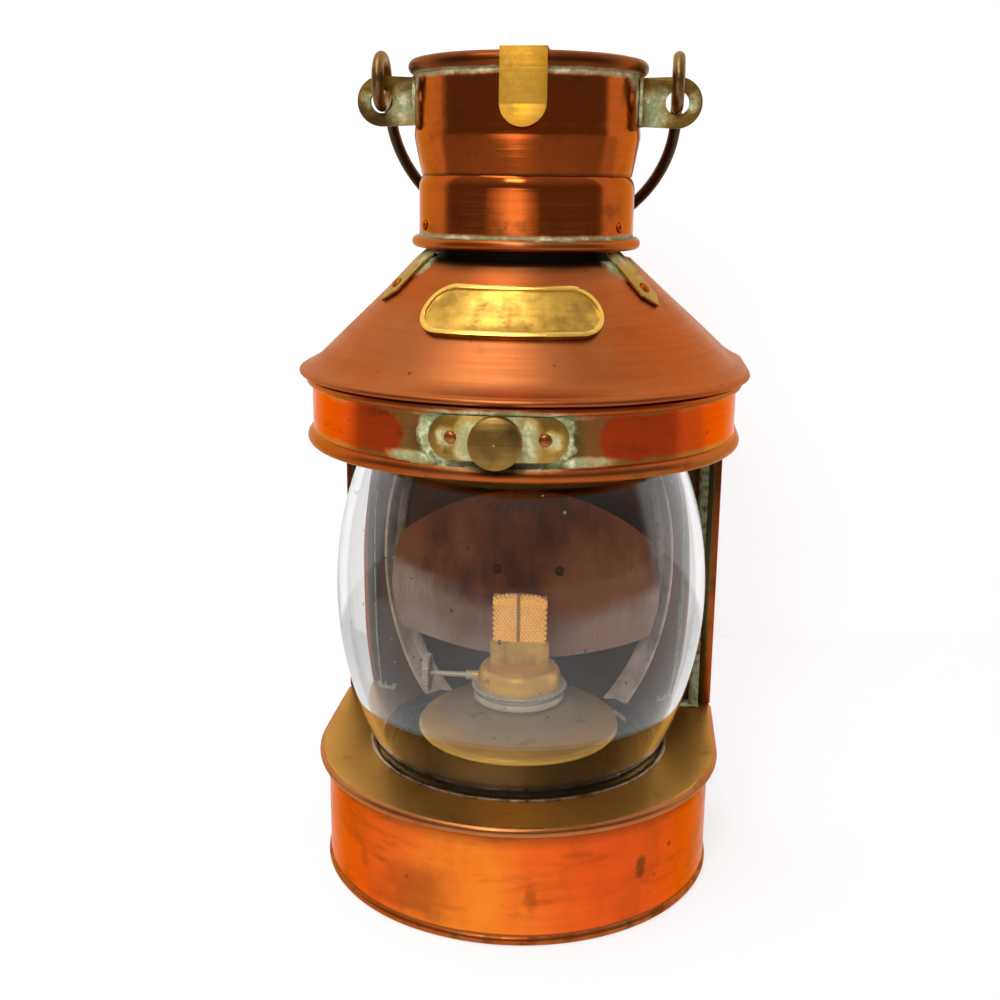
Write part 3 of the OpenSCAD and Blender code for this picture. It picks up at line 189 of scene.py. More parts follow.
SMOOTH_UP_TO = 38.0
CRISP_FROM = 32.0
FLAT_WITHIN = 0.4
LOOSE = 0.002 * MM
FLAT_STEPS, CORNER_STEPS, FRONT_STEPS = 12, 10, 60


def in_scene(name, data):
    """A new object in the scene."""
    thing = bpy.data.objects.new(name, data)
    bpy.context.scene.collection.objects.link(thing)
    return thing


def settle(name, work, mesh, sharp):
    """Writes worked faces to a mesh, smooth up to an angle, and puts it in the scene."""
    work.to_mesh(mesh)
    work.free()
    mesh.shade_smooth()
    mesh.set_sharp_from_angle(angle=math.radians(sharp))
    return in_scene(name, mesh)


class Sheets:
    """Collects closed shells, in millimetres, for one mesh."""

    def __init__(self):
        self.points = []
        self.faces = []

    def skin(self, rings, around=False):
        """Joins closed rings of equal count, in order, into a shell: a loop of rings, or a row with capped ends."""
        start, count, rows = len(self.points), len(rings[0]), len(rings)
        for ring in rings:
            self.points.extend(ring)
        for i in range(rows if around else rows - 1):
            a, b = start + i * count, start + (i + 1) % rows * count
            for j in range(count):
                k = (j + 1) % count
                self.faces.append((a + j, a + k, b + k, b + j))
        ends = () if around else (0, rows - 1)
        for row in ends:
            a = start + row * count
            for j in range(count // 2 - 1):
                self.faces.append((a + j, a + j + 1, a + count - 2 - j, a + count - 1 - j))
        return self

    def piece(self, name, sharp=SMOOTH_UP_TO, wobble=0.0, wave=45.0):
        """Makes the object, closed and turned outwards, with the slight unevenness of hand work."""
        spots = [Vector(p) for p in self.points]
        if wobble:
            noise.seed_set(HAND_SEED)
            spots = [p + noise.noise_vector(p / wave) * wobble for p in spots]
        mesh = bpy.data.meshes.new(name)
        mesh.from_pydata([p * MM for p in spots], [], self.faces)
        work = bmesh.new()
        work.from_mesh(mesh)
        bmesh.ops.remove_doubles(work, verts=work.verts, dist=2 * LOOSE)
        bmesh.ops.dissolve_degenerate(work, edges=work.edges, dist=LOOSE)
        bmesh.ops.recalc_face_normals(work, faces=work.faces)
        return settle(name, work, mesh, sharp)


def arc(x, z, radius, start, end, steps):
    """Points on a circle's arc, in degrees."""
    turn = [math.radians(start + (end - start) * i / steps) for i in range(steps + 1)]
    return [(x + radius * math.cos(t), z + radius * math.sin(t)) for t in turn]


def bend(a, b, c, steps):
    """A smooth curve from a to c, drawn towards b on its way."""
    curve = []
    for i in range(steps + 1):
        t = i / steps
        weights = ((1 - t) ** 2, 2 * t * (1 - t), t * t)
        curve.append(tuple(sum(w * p[n] for w, p in zip(weights, (a, b, c))) for n in (0, 1)))
    return curve


def run(a, b, steps):
    """Points on a straight line, both ends included."""
    return [(a[0] + (b[0] - a[0]) * i / steps, a[1] + (b[1] - a[1]) * i / steps) for i in range(steps + 1)]


def plan(m, gap=0.0):
    """Stations round the band's plan from the middle of the back, as (x, y, outward x, outward y)."""
    r, side = m.band_radius, m.back_depth - m.corner_radius
    flat = r - m.corner_radius
    half = [(x, m.back_depth, 0.0, 1.0) for x, _ in run((gap / 2, 0), (flat, 0), FLAT_STEPS)]
    for i in range(1, CORNER_STEPS + 1):
        t = math.radians(90 - 90 / CORNER_STEPS * i)
        out = (math.cos(t), math.sin(t))
        half.append((flat + m.corner_radius * out[0], side + m.corner_radius * out[1], *out))
    half += [(r, y, 1.0, 0.0) for y, _ in run((side, 0), (0, 0), FLAT_STEPS)[1:]]
    for i in range(1, FRONT_STEPS + 1):
        t = math.radians(-90 / FRONT_STEPS * i)
        half.append((r * math.cos(t), r * math.sin(t), math.cos(t), math.sin(t)))
    other = [(-x, y, -nx, ny) for x, y, nx, ny in reversed(half[:-1])]
    return half + (other if gap else other[:-1])


def swept(m, profile, gap=0.0):
    """Rings of a profile, in (outwards from the band, up), carried round the plan."""
    return [[(x + nx * off, y + ny * off, z) for off, z in profile] for x, y, nx, ny in plan(m, gap)]


def turned(profile, steps=160):
    """Rings of a closed profile, in (radius, up), turned about the axis."""
    turns = [2 * math.pi * i / steps for i in range(steps)]
    return [[(r * math.cos(t), r * math.sin(t), z) for r, z in profile] for t in turns]


def worked(node, edge):
    """A copy of a solid with its loose triangles joined and its edges eased, as a file would leave them."""
    work = bmesh.new()
    work.from_mesh(NODES[node].data)
    bmesh.ops.remove_doubles(work, verts=work.verts, dist=LOOSE)
    bmesh.ops.dissolve_limit(work, angle_limit=math.radians(FLAT_WITHIN), verts=work.verts, edges=work.edges)
    crisp = [e for e in work.edges if e.is_manifold and e.calc_face_angle(0.0) > math.radians(CRISP_FROM)]
    bmesh.ops.bevel(
        work, geom=crisp, offset=edge * MM, offset_type="OFFSET", segments=2, profile=0.5, affect="EDGES",
        clamp_overlap=True,
    )
    bmesh.ops.triangulate(work, faces=[f for f in work.faces if len(f.verts) > 4])
    name = node + "_worked"
    return settle(name, work, bpy.data.meshes.new(name), SMOOTH_UP_TO)


def dress(mesh, *finishes):
    """Gives a mesh these finishes and no others."""
    mesh.materials.clear()
    for name in finishes:
        mesh.materials.append(finish(name))


def stand_for(node, piece, slot, *finishes, rule=None):
    """Gives a piece its finishes and its body, and hides the solid it stands for. The slot is not used."""
    dress(piece.data, *finishes)
    if rule:
        for face in piece.data.polygons:
            face.material_index = rule(face.center / MM, face.normal)
    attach(piece, BODY_OF[node])
    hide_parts(node)


def ease(node, edge, slot, *finishes, rule=None):
    """Stands a worked copy for a solid."""
    stand_for(node, worked(node, edge), slot, *finishes, rule=rule)


def keep_solid(node, name):
    """Gives a solid that is right as it is a better finish."""
    dress(NODES[node].data, name)


# Geometry Nodes


class Bench:
    """Lays nodes in one tree and joins them."""

    def __init__(self, tree):
        self.tree = tree

    def put(self, kind, feeds=None, **settings):
        """Lays a node with these settings, and feeds its sockets."""
        node = self.tree.nodes.new(kind)
        for key, value in settings.items():
            setattr(node, key, value)
        for key, value in (feeds or {}).items():
            self.feed(node.inputs[key], value)
        return node

    def feed(self, socket, value):
        """Joins a node or a socket to a socket, or sets a plain value on it."""
        if isinstance(value, bpy.types.Node):
            value = value.outputs[0]
        if isinstance(value, bpy.types.NodeSocket):
            self.tree.links.new(value, socket)
        else:
            socket.default_value = value

    def reckon(self, operation, a, b=0.0, clamp=False):
        """One sum with numbers."""
        return self.put("ShaderNodeMath", {0: a, 1: b}, operation=operation, use_clamp=clamp).outputs[0]

    def plus(self, a, b, clamp=False):
        return self.reckon("ADD", a, b, clamp)

    def minus(self, a, b):
        return self.reckon("SUBTRACT", a, b)

    def times(self, a, b):
        return self.reckon("MULTIPLY", a, b)

    def most(self, a, b):
        return self.reckon("MAXIMUM", a, b)

    def hypot(self, a, b):
        return self.reckon("SQRT", self.plus(self.times(a, a), self.times(b, b)))

    def off(self, value, middle):
        """How far a value is from a middle, either way."""
        return self.reckon("ABSOLUTE", self.minus(value, middle))

    def vector(self, operation, a, b):
        """One sum with vectors."""
        return self.put("ShaderNodeVectorMath", {0: a, 1: b}, operation=operation).outputs[0]

    def parts(self, vector):
        """The x, y and z of a vector."""
        return self.put("ShaderNodeSeparateXYZ", {0: vector}).outputs

    def point(self, x=0.0, y=0.0, z=0.0):
        """A vector from x, y and z."""
        return self.put("ShaderNodeCombineXYZ", {"X": x, "Y": y, "Z": z})

    def span(self, value, low, high, start=0.0, end=1.0):
        """Goes smoothly from start to end as a value goes from low to high."""
        feeds = {"Value": value, "From Min": low, "From Max": high, "To Min": start, "To Max": end}
        return self.put("ShaderNodeMapRange", feeds, interpolation_type="SMOOTHSTEP").outputs[0]

    def mix(self, share, a, b):
        """A number between two numbers."""
        return self.put("ShaderNodeMix", {0: share, 2: a, 3: b}).outputs[0]

    def blend(self, share, a, b):
        """A colour between two colours."""
        return self.put("ShaderNodeMix", {0: share, 6: a, 7: b}, data_type="RGBA").outputs[2]

    def lay(self, mask, share, under, over):
        """Lays a share of a colour over another where a mask is."""
        return self.blend(self.times(mask, share), under, over)

    def place(self):
        """Object coordinates, in metres."""
        return self.put("ShaderNodeTexCoord").outputs["Object"]

    def cloud(self, where, scale, seed, detail=6.0):
        """Noise about 0.5 that a seed moves on."""
        feeds = {"Vector": where, "W": seed, "Scale": scale, "Detail": detail, "Roughness": 0.6}
        return self.put("ShaderNodeTexNoise", feeds, noise_dimensions="4D").outputs[0]

    def wander(self, where, scale, seed, width):
        """Noise about nought, that makes an edge ragged."""
        return self.times(self.minus(self.cloud(where, scale, seed), 0.5), width)

    def scatter(self, low, high, seed):
        """A random vector for each point."""
        return self.put("FunctionNodeRandomValue", {0: low, 1: high, "Seed": seed}, data_type="FLOAT_VECTOR")

    def join(self, *shapes):
        """Several shapes as one."""
        joined = self.put("GeometryNodeJoinGeometry")
        for shape in shapes:
            self.feed(joined.inputs[0], shape)
        return joined


class Group(Bench):
    """A bench in a node group with named sockets and one output."""

    def __init__(self, name, kind, inputs, output):
        super().__init__(bpy.data.node_groups.new(name, kind))
        for label, socket_type, default in inputs:
            socket = self.tree.interface.new_socket(label, in_out="INPUT", socket_type=socket_type)
            if default is not None:
                socket.default_value = default
        label, socket_type, _ = output
        self.tree.interface.new_socket(label, in_out="OUTPUT", socket_type=socket_type)
        self.given = self.put("NodeGroupInput").outputs
        self.taken = self.put("NodeGroupOutput").inputs

    def give(self, value):
        """Ends the group with what it gives."""
        self.feed(self.taken[0], value)
        return self.tree

    def give_shape(self, shape):
        """Ends a shape's group as the export needs it: smooth, realized and with its finish."""
        smooth = self.put("GeometryNodeSetShadeSmooth", {"Geometry": shape})
        real = self.put("GeometryNodeRealizeInstances", {"Geometry": smooth})
        return self.give(self.put("GeometryNodeSetMaterial", {"Geometry": real, "Material": self.given["Finish"]}))


def number(label, default):
    """A socket for a number."""
    return label, "NodeSocketFloat", default


def whole(label, default):
    """A socket for a whole number."""
    return label, "NodeSocketInt", default


def direction(label, x, y, z):
    """A socket for a vector."""
    return label, "NodeSocketVector", (x, y, z)


def shape_group(name, *inputs):
    """A group that takes a shape, its own sizes and a finish, and gives a shape."""
    shape = ("Geometry", "NodeSocketGeometry", None)
    group = Group(name, "GeometryNodeTree", [shape, *inputs, ("Finish", "NodeSocketMaterial", None)], shape)
    return group, group.given


def mask_group(name, *inputs):
    """A group that takes its own values and a seed, and gives a mask."""
    group = Group(name, "ShaderNodeTree", [*inputs, number("Seed", 0.0)], number("Mask", None))
    return group, group.given


@cache
def rivet_tree():
    """Peened heads on points, each along the point's axis attribute."""
    bench, given = shape_group(
        "Rivet heads", number("Radius", 0.003), number("Height", 0.0016), number("Unevenness", 0.07), whole("Seed", 4)
    )
    foot, least, tilt = -0.12, 0.965, 0.05
    ball = bench.put("GeometryNodeMeshUVSphere", {"Segments": 24, "Rings": 14, "Radius": 1.0})
    x, y, z = bench.parts(bench.put("GeometryNodeInputPosition"))
    lumps = bench.put("ShaderNodeTexNoise", {"Scale": 1.7, "Detail": 1.0}).outputs["Fac"]
    wide = bench.times(given["Radius"], bench.plus(bench.times(lumps, given["Unevenness"]), least))
    domed = bench.point(bench.times(x, wide), bench.times(y, wide), bench.times(bench.most(z, foot), given["Height"]))
    head = bench.put("GeometryNodeSetPosition", {"Geometry": ball, "Position": domed})
    axis = bench.put("GeometryNodeInputNamedAttribute", {"Name": "axis"}, data_type="FLOAT_VECTOR")
    tilted = bench.vector("ADD", axis, bench.scatter((-tilt,) * 3, (tilt,) * 3, given["Seed"]))
    aim = bench.put("FunctionNodeAlignRotationToVector", {"Vector": tilted}, axis="Z")
    feeds = {"Points": given["Geometry"], "Instance": head, "Rotation": aim}
    return bench.give_shape(bench.put("GeometryNodeInstanceOnPoints", feeds))


@cache
def ribbed_tree():
    """A disc with half-round ribs standing round its edge."""
    bench, given = shape_group(
        "Ribbed disc", whole("Count", 32), number("Radius", 0.0227), number("Height", 0.003), number("Rib", 0.0012)
    )
    overlong = 0.56
    ring = bench.put("GeometryNodeMeshCircle", {"Vertices": given["Count"], "Radius": given["Radius"]})
    rod = bench.put("GeometryNodeMeshUVSphere", {"Segments": 10, "Rings": 8, "Radius": 1.0})
    sized = bench.point(given["Rib"], given["Rib"], bench.times(given["Height"], overlong))
    x, y, z = bench.parts(bench.vector("MULTIPLY", bench.put("GeometryNodeInputPosition"), sized))
    low, high = bench.times(given["Height"], -0.5), bench.times(given["Height"], 0.5)
    cut = bench.point(x, y, bench.reckon("MINIMUM", bench.most(z, low), high))
    rib = bench.put("GeometryNodeSetPosition", {"Geometry": rod, "Position": cut})
    ribs = bench.put("GeometryNodeInstanceOnPoints", {"Points": ring, "Instance": rib})
    return bench.give_shape(bench.join(ribs, given["Geometry"]))


@cache
def rod_tree():
    """A round rod along the edges of a path."""
    bench, given = shape_group(
        "Bent rod", number("Radius", 0.0026), number("Step", 0.0012), number("Unevenness", 0.00012)
    )
    path = bench.put("GeometryNodeMeshToCurve", {"Mesh": given["Geometry"]})
    even = bench.put("GeometryNodeResampleCurve", {"Curve": path, "Length": given["Step"]}, mode="LENGTH")
    circle = bench.put("GeometryNodeCurvePrimitiveCircle", {"Resolution": 24, "Radius": given["Radius"]})
    tube = bench.put("GeometryNodeCurveToMesh", {"Curve": even, "Profile Curve": circle, "Fill Caps": True})
    lumps = bench.put("ShaderNodeTexNoise", {"Scale": 90.0, "Detail": 2.0})
    push = bench.vector("SUBTRACT", lumps.outputs["Color"], (0.5, 0.5, 0.5))
    moved = bench.put("ShaderNodeVectorMath", {0: push, "Scale": given["Unevenness"]}, operation="SCALE")
    return bench.give_shape(bench.put("GeometryNodeSetPosition", {"Geometry": tube, "Offset": moved}))


@cache
def weave_tree():
    """Plump stitches in brick rows over both faces of a flat wick, with a ragged upper end."""
    bench, given = shape_group(
        "Woven wick", number("Width", 0.0235), number("Height", 0.044), number("Depth", 0.0026),
        number("Middle", 0.108), whole("Columns", 14), whole("Rows", 34), number("Stitch", 0.00105), whole("Seed", 11),
    )
    plump, least_lean, most_lean = (1.02, 0.5, 0.72), (-0.1, 0.12, -0.1), (0.1, 0.5, 0.1)
    top_zone, corner_wear, ragged_wear = 0.007, 0.0016, 0.0026
    height, across = given["Height"], {"Size X": given["Width"], "Vertices X": given["Columns"]}
    grid = bench.put("GeometryNodeMeshGrid", {**across, "Size Y": height, "Vertices Y": given["Rows"]})
    x, y, _ = bench.parts(bench.put("GeometryNodeInputPosition"))
    half_h, half_w = bench.times(height, 0.5), bench.times(given["Width"], 0.5)
    pitch = bench.reckon("DIVIDE", height, bench.minus(given["Rows"], 1.0))
    row = bench.reckon("ROUND", bench.reckon("DIVIDE", bench.plus(y, half_h), pitch))
    odd = bench.reckon("MODULO", row, 2.0)
    shift = bench.times(bench.minus(odd, 0.5), given["Stitch"])
    ball = bench.put("GeometryNodeMeshUVSphere", {"Segments": 8, "Rings": 5, "Radius": 1.0})
    sized = bench.point(*(bench.times(given["Stitch"], share) for share in plump))
    stitch = bench.put("GeometryNodeTransform", {"Geometry": ball, "Scale": sized})
    near_top = bench.span(bench.minus(half_h, y), top_zone, 0.0)
    corner = bench.reckon("POWER", bench.reckon("DIVIDE", bench.reckon("ABSOLUTE", x), half_w), 3.0)
    ragged = bench.put("ShaderNodeTexNoise", {"Vector": bench.point(x), "Scale": 330.0})
    drop = bench.times(near_top, bench.plus(bench.times(corner, corner_wear), bench.times(ragged, ragged_wear)))
    handed = bench.point(1.0, bench.minus(bench.times(odd, 2.0), 1.0), 1.0)
    turn = bench.vector("MULTIPLY", bench.scatter(least_lean, most_lean, given["Seed"]), handed)
    faces = []
    for side in (-0.5, 0.5):
        level = bench.minus(bench.plus(y, given["Middle"]), drop)
        at = bench.point(bench.plus(x, shift), bench.times(given["Depth"], side), level)
        face = bench.put("GeometryNodeSetPosition", {"Geometry": grid, "Position": at})
        faces.append(bench.put("GeometryNodeInstanceOnPoints", {"Points": face, "Instance": stitch, "Rotation": turn}))
    return bench.give_shape(bench.join(*faces, given["Geometry"]))


@cache
def seed_tree():
    """Small bubbles strewn in the wall of a glass, on its middle surface."""
    bench, given = shape_group(
        "Glass seeds", number("Density", 1500.0), number("Smallest", 0.00018), number("Largest", 0.0007),
        whole("Seed", 7),
    )
    rare, drawn_out = 4.0, 1.25
    feeds = {"Mesh": given["Geometry"], "Density": given["Density"], "Seed": given["Seed"]}
    spots = bench.put("GeometryNodeDistributePointsOnFaces", feeds)
    ball = bench.put("GeometryNodeMeshIcoSphere", {"Radius": 1.0, "Subdivisions": 2})
    pick = bench.put("FunctionNodeRandomValue", {2: 0.0, 3: 1.0, "Seed": given["Seed"]}, data_type="FLOAT").outputs[1]
    spread = bench.minus(given["Largest"], given["Smallest"])
    grown = bench.plus(given["Smallest"], bench.times(spread, bench.reckon("POWER", pick, rare)))
    long = bench.point(grown, grown, bench.times(grown, drawn_out))
    feeds = {"Points": spots.outputs["Points"], "Instance": ball, "Scale": long}
    return bench.give_shape(bench.put("GeometryNodeInstanceOnPoints", feeds))


def grow(name, mesh, tree, metal_name, values, sharp=None):
    """Runs a tree on a mesh and keeps the result as a plain mesh."""
    piece = in_scene(name, mesh)
    modifier = piece.modifiers.new(tree.name, "NODES")
    modifier.node_group = tree
    values = {**values, "Finish": finish(metal_name)}
    for socket in tree.interface.items_tree:
        if socket.in_out == "INPUT" and socket.name in values:
            modifier[socket.identifier] = values[socket.name]
    bpy.context.view_layer.update()
    deps = bpy.context.evaluated_depsgraph_get()
    plain = bpy.data.meshes.new_from_object(piece.evaluated_get(deps), depsgraph=deps)
    plain.name = name
    piece.modifiers.clear()
    piece.data = plain
    if sharp:
        plain.set_sharp_from_angle(angle=math.radians(sharp))
    return piece


def freed(piece):
    """The mesh of an object that is needed no longer."""
    mesh = piece.data
    bpy.data.objects.remove(piece)
    return mesh


def rivet_frames(node):
    """Foot, outward axis, radius and height of each rivet of a solid, found from its flat foot."""
    work = bmesh.new()
    work.from_mesh(NODES[node].data)
    bmesh.ops.remove_doubles(work, verts=work.verts, dist=LOOSE)
    work.faces.index_update()
    waiting, found = set(work.verts), []
    while waiting:
        stack, island = [next(iter(waiting))], set()
        while stack:
            vert = stack.pop()
            if vert in island:
                continue
            island.add(vert)
            stack.extend(e.other_vert(vert) for e in vert.link_edges)
        waiting -= island
        areas = {}
        for face in sorted({f for v in island for f in v.link_faces}, key=lambda f: f.index):
            key = tuple(round(c, 2) for c in face.normal)
            areas.setdefault(key, []).append(face)
        foot = max(areas.values(), key=lambda faces: sum(f.calc_area() for f in faces))
        total = sum(f.calc_area() for f in foot)
        centre = sum((f.calc_center_median() * f.calc_area() for f in foot), Vector()) / total
        axis = -sum((f.normal * f.calc_area() for f in foot), Vector()).normalized()
        radius = max((v.co - centre).length for f in foot for v in f.verts)
        found.append((centre.copy(), axis, radius, max((v.co - centre).dot(axis) for v in island)))
    work.free()
    return sorted(found, key=lambda rivet: tuple(round(c, 4) for c in rivet[0]))


# Finishes

EDGE_TINT = 0.22
ALL_WAYS = (1.0, 1.0, 1.0)
ROUND = (0.03, 0.03, 1.0)
UPRIGHT = (1.0, 1.0, 0.04)
BASE_STREAK = (0.7, 0.7, 2.2)
UPRIGHT_CLOUD = (1.0, 1.0, 0.5)
LATCH_X, LATCH_Y, LATCH_Z, LATCH_STRAIGHT, LATCH_ROUND = -1.5, -90.0, 222.2, 18.6, 8.9


@cache
def tarnish_clouds():
    """Patches of tarnish, drawn out along an axis by Stretch."""
    bench, given = mask_group(
        "Tarnish clouds", number("Scale", 18.0), direction("Stretch", *ALL_WAYS), number("Low", 0.4),
        number("High", 0.6),
    )
    drawn = bench.vector("MULTIPLY", bench.place(), given["Stretch"])
    return bench.give(bench.span(bench.cloud(drawn, given["Scale"], given["Seed"]), given["Low"], given["High"]))


@cache
def flecks():
    """Single spots: Share of the cells get one, up to Size of a cell across."""
    bench, given = mask_group("Flecks", number("Scale", 250.0), number("Size", 0.3), number("Share", 0.1))
    feeds = {"Vector": bench.place(), "W": given["Seed"], "Scale": given["Scale"]}
    cells = bench.put("ShaderNodeTexVoronoi", feeds, voronoi_dimensions="4D")
    red = bench.put("ShaderNodeSeparateColor", {0: cells.outputs["Color"]}).outputs[0]
    chosen = bench.reckon("GREATER_THAN", red, bench.minus(1.0, given["Share"]))
    near = bench.span(cells.outputs["Distance"], given["Size"], bench.times(given["Size"], 0.4))
    return bench.give(bench.times(near, chosen))


@cache
def seam_bloom():
    """A ragged line of growth or grime along a level seam."""
    bench, given = mask_group(
        "Seam bloom", number("Height", 0.0), number("Spread", 0.003), number("Ragged", 0.002), number("Scale", 120.0)
    )
    where = bench.place()
    level = bench.plus(bench.parts(where)[2], bench.wander(where, given["Scale"], given["Seed"], given["Ragged"]))
    return bench.give(bench.span(bench.off(level, given["Height"]), given["Spread"], 0.0))


@cache
def spot_bloom():
    """A ragged patch of growth round a point."""
    bench, given = mask_group(
        "Spot bloom", direction("Centre", 0.0, 0.0, 0.0), direction("Flatten", *ALL_WAYS), number("Reach", 0.01),
        number("Ragged", 0.008), number("Scale", 150.0),
    )
    where = bench.place()
    out = bench.vector("MULTIPLY", bench.vector("SUBTRACT", where, given["Centre"]), given["Flatten"])
    away = bench.put("ShaderNodeVectorMath", {0: out}, operation="LENGTH").outputs["Value"]
    far = bench.plus(away, bench.wander(where, given["Scale"], given["Seed"], given["Ragged"]))
    return bench.give(bench.span(far, given["Reach"], bench.times(given["Reach"], 0.35)))


@cache
def plate_bloom():
    """Ragged growth round a plate with round ends, as wide as Reach, on the plate's side only."""
    bench, given = mask_group(
        "Plate bloom", direction("Centre", 0.0, 0.0, 0.0), number("Straight", 0.018), number("Round", 0.009),
        number("Reach", 0.004), number("Ragged", 0.004), number("Scale", 150.0),
    )
    where = bench.place()
    x, y, z = bench.parts(bench.vector("SUBTRACT", where, given["Centre"]))
    past = bench.most(bench.minus(bench.reckon("ABSOLUTE", x), given["Straight"]), 0.0)
    ragged = bench.wander(where, given["Scale"], given["Seed"], given["Ragged"])
    far = bench.plus(bench.minus(bench.hypot(past, z), given["Round"]), ragged)
    grown = bench.span(far, given["Reach"], bench.times(given["Reach"], 0.3))
    return bench.give(bench.times(grown, bench.span(y, 0.02, 0.005)))


@cache
def rubbing_marks():
    """Fine lines left by rubbing, along the axis that Along leaves short."""
    bench, given = mask_group("Rubbing marks", number("Scale", 500.0), direction("Along", *ROUND))
    drawn = bench.vector("MULTIPLY", bench.place(), given["Along"])
    return bench.give(bench.span(bench.cloud(drawn, given["Scale"], given["Seed"], 3.0), 0.3, 0.7))


@cache
def edge_wear():
    """Raised edges, broken up, where handling keeps the metal clean."""
    bench, given = mask_group("Edge wear", number("Low", 0.52), number("High", 0.6), number("Scale", 300.0))
    edge = bench.span(bench.put("ShaderNodeNewGeometry").outputs["Pointiness"], given["Low"], given["High"])
    broken = bench.span(bench.cloud(bench.place(), given["Scale"], given["Seed"]), 0.3, 0.6)
    return bench.give(bench.times(edge, broken))


EFFECTS = {
    "clouds": tarnish_clouds, "flecks": flecks, "seam": seam_bloom, "spot": spot_bloom, "rubbing": rubbing_marks,
    "wear": edge_wear, "rim": plate_bloom,
}


class Finish(Bench):
    """One material: a Principled surface and the shared effects that feed it."""

    def __init__(self, name, metallic=1.0):
        self.material = bpy.data.materials.new(name)
        self.material.use_nodes = True
        super().__init__(self.material.node_tree)
        self.surface = self.tree.nodes["Principled BSDF"]
        self.set("Metallic", metallic)

    def set(self, socket, value):
        """Sets or feeds a socket of the surface."""
        self.feed(self.surface.inputs[socket], value)

    def show(self, shader):
        """Shows a shader in place of the plain surface."""
        self.feed(self.tree.nodes["Material Output"].inputs["Surface"], shader)

    def effect(self, kind, **values):
        """The mask of a shared effect."""
        node = self.put("ShaderNodeGroup", node_tree=EFFECTS[kind]())
        for label, value in values.items():
            self.feed(node.inputs[label.title()], value)
        return node.outputs[0]

    def effects(self, wanted, seed):
        """The masks of a list of effects, each with a seed of its own."""
        return [self.effect(kind, seed=seed + i, **values) for i, (kind, values) in enumerate(wanted)]

    def clouds(self, scale, low, high, seed, stretch=ALL_WAYS):
        """The mask of tarnish in clouds."""
        return self.effect("clouds", scale=scale, stretch=stretch, low=low, high=high, seed=seed)

    def bump(self, height, strength, distance=0.0004):
        """Shows a height as fine relief."""
        feeds = {"Height": height, "Strength": strength, "Distance": distance}
        self.set("Normal", self.put("ShaderNodeBump", feeds))


def metal(
    name, bright, dull, dark, rough=(0.22, 0.4), patch=16.0, stretch=ALL_WAYS, dull_at=(0.4, 0.62),
    dark_at=(0.56, 0.74), dark_share=0.6, speck=(260.0, 0.32, 0.1), grime=(), green=(), shade=(), wear=0.0, relief=0.2,
    along=ROUND, seed=0.0, metallic=1.0, worn=None, change=None,
):
    """A worn metal: two main tones, a dark tone in clouds and specks, grime in seams, verdigris, rubbed edges, and
    painted shadows in black.
    """
    finer, line_scale = 4.5, 520.0
    line_share, speck_share, grime_share, shade_share = 0.12, 0.85, 0.85, 0.95
    c = colours()
    bright_tone, dull_tone, dark_tone = (getattr(c, tone) for tone in (bright, dull, dark))
    f = Finish(name, metallic)
    wide = f.clouds(patch, *dull_at, seed, stretch)
    close = f.clouds(patch * finer, *dark_at, seed + 3.1, stretch)
    spots = f.effect("flecks", scale=speck[0], size=speck[1], share=speck[2], seed=seed + 5.3)
    lines = f.effect("rubbing", scale=line_scale, along=along, seed=seed + 1.7)
    colour = f.blend(wide, bright_tone, dull_tone)
    colour = f.lay(close, dark_share, colour, dark_tone)
    colour = f.lay(lines, line_share, colour, dark_tone)
    if change:
        colour = change(f, c, colour)
    colour = f.lay(spots, speck_share, colour, dark_tone)
    for mask in f.effects(grime, seed + 7.0):
        colour = f.lay(mask, grime_share, colour, c.dark_brass)
    if wear:
        colour = f.lay(f.effect("wear", seed=seed + 9.0), wear, colour, getattr(c, worn or bright))
    roughness = f.span(f.plus(f.times(close, 0.6), f.times(lines, 0.4)), 0.0, 1.0, *rough)
    height = f.plus(f.times(lines, 0.5), f.times(close, -0.4))
    if green:
        growth = reduce(f.most, f.effects(green, seed + 11.0))
        grain = f.clouds(700.0, 0.3, 0.62, seed + 13.0)
        crust = f.times(growth, f.span(grain, 0.0, 1.0, 0.55, 1.0))
        greens = f.lay(f.clouds(70.0, 0.45, 0.62, seed + 19.0), 0.8, c.pale_green, c.mint_green)
        greens = f.lay(f.clouds(160.0, 0.32, 0.58, seed + 17.0), 0.8, greens, c.deep_green)
        colour = f.blend(crust, colour, greens)
        f.set("Metallic", f.minus(metallic, f.times(crust, 0.92)))
        roughness = f.plus(f.times(crust, 0.45), roughness, clamp=True)
        height = f.plus(height, f.times(f.times(crust, grain), 1.5))
    # Painted shadows, laid in black over all the rest.
    for mask in f.effects(shade, seed + 23.0):
        colour = f.lay(mask, shade_share, colour, c.black_soot_and_shade)
    strongest = max(bright_tone[:3])
    f.set("Specular Tint", (*((part / strongest) ** EDGE_TINT for part in bright_tone[:3]), 1.0))
    f.set("Base Color", colour)
    f.set("Roughness", roughness)
    f.bump(height, relief)
    return f.material


def seam(height, spread, ragged=1.5, scale=140.0):
    """A seam's values, from millimetres."""
    return "seam", {"height": height * MM, "spread": spread * MM, "ragged": ragged * MM, "scale": scale}


def spot(x, y, z, reach, ragged=8.0, flat=1.0, scale=150.0):
    """A spot's values, from millimetres."""
    sizes = {"centre": (x * MM, y * MM, z * MM), "reach": reach * MM, "ragged": ragged * MM}
    return "spot", {**sizes, "flatten": (1.0, 1.0, flat), "scale": scale}


def pair(x, *values, middle=0.0, **named):
    """Two spots, on either side of a middle."""
    return [spot(side * x + middle, *values, **named) for side in (-1, 1)]


def rim(reach, ragged, scale):
    """Values of growth round the latch plate, from millimetres."""
    centre = (LATCH_X * MM, LATCH_Y * MM, LATCH_Z * MM)
    plate = {"centre": centre, "straight": LATCH_STRAIGHT * MM, "round": LATCH_ROUND * MM}
    return "rim", {**plate, "reach": reach * MM, "ragged": ragged * MM, "scale": scale}


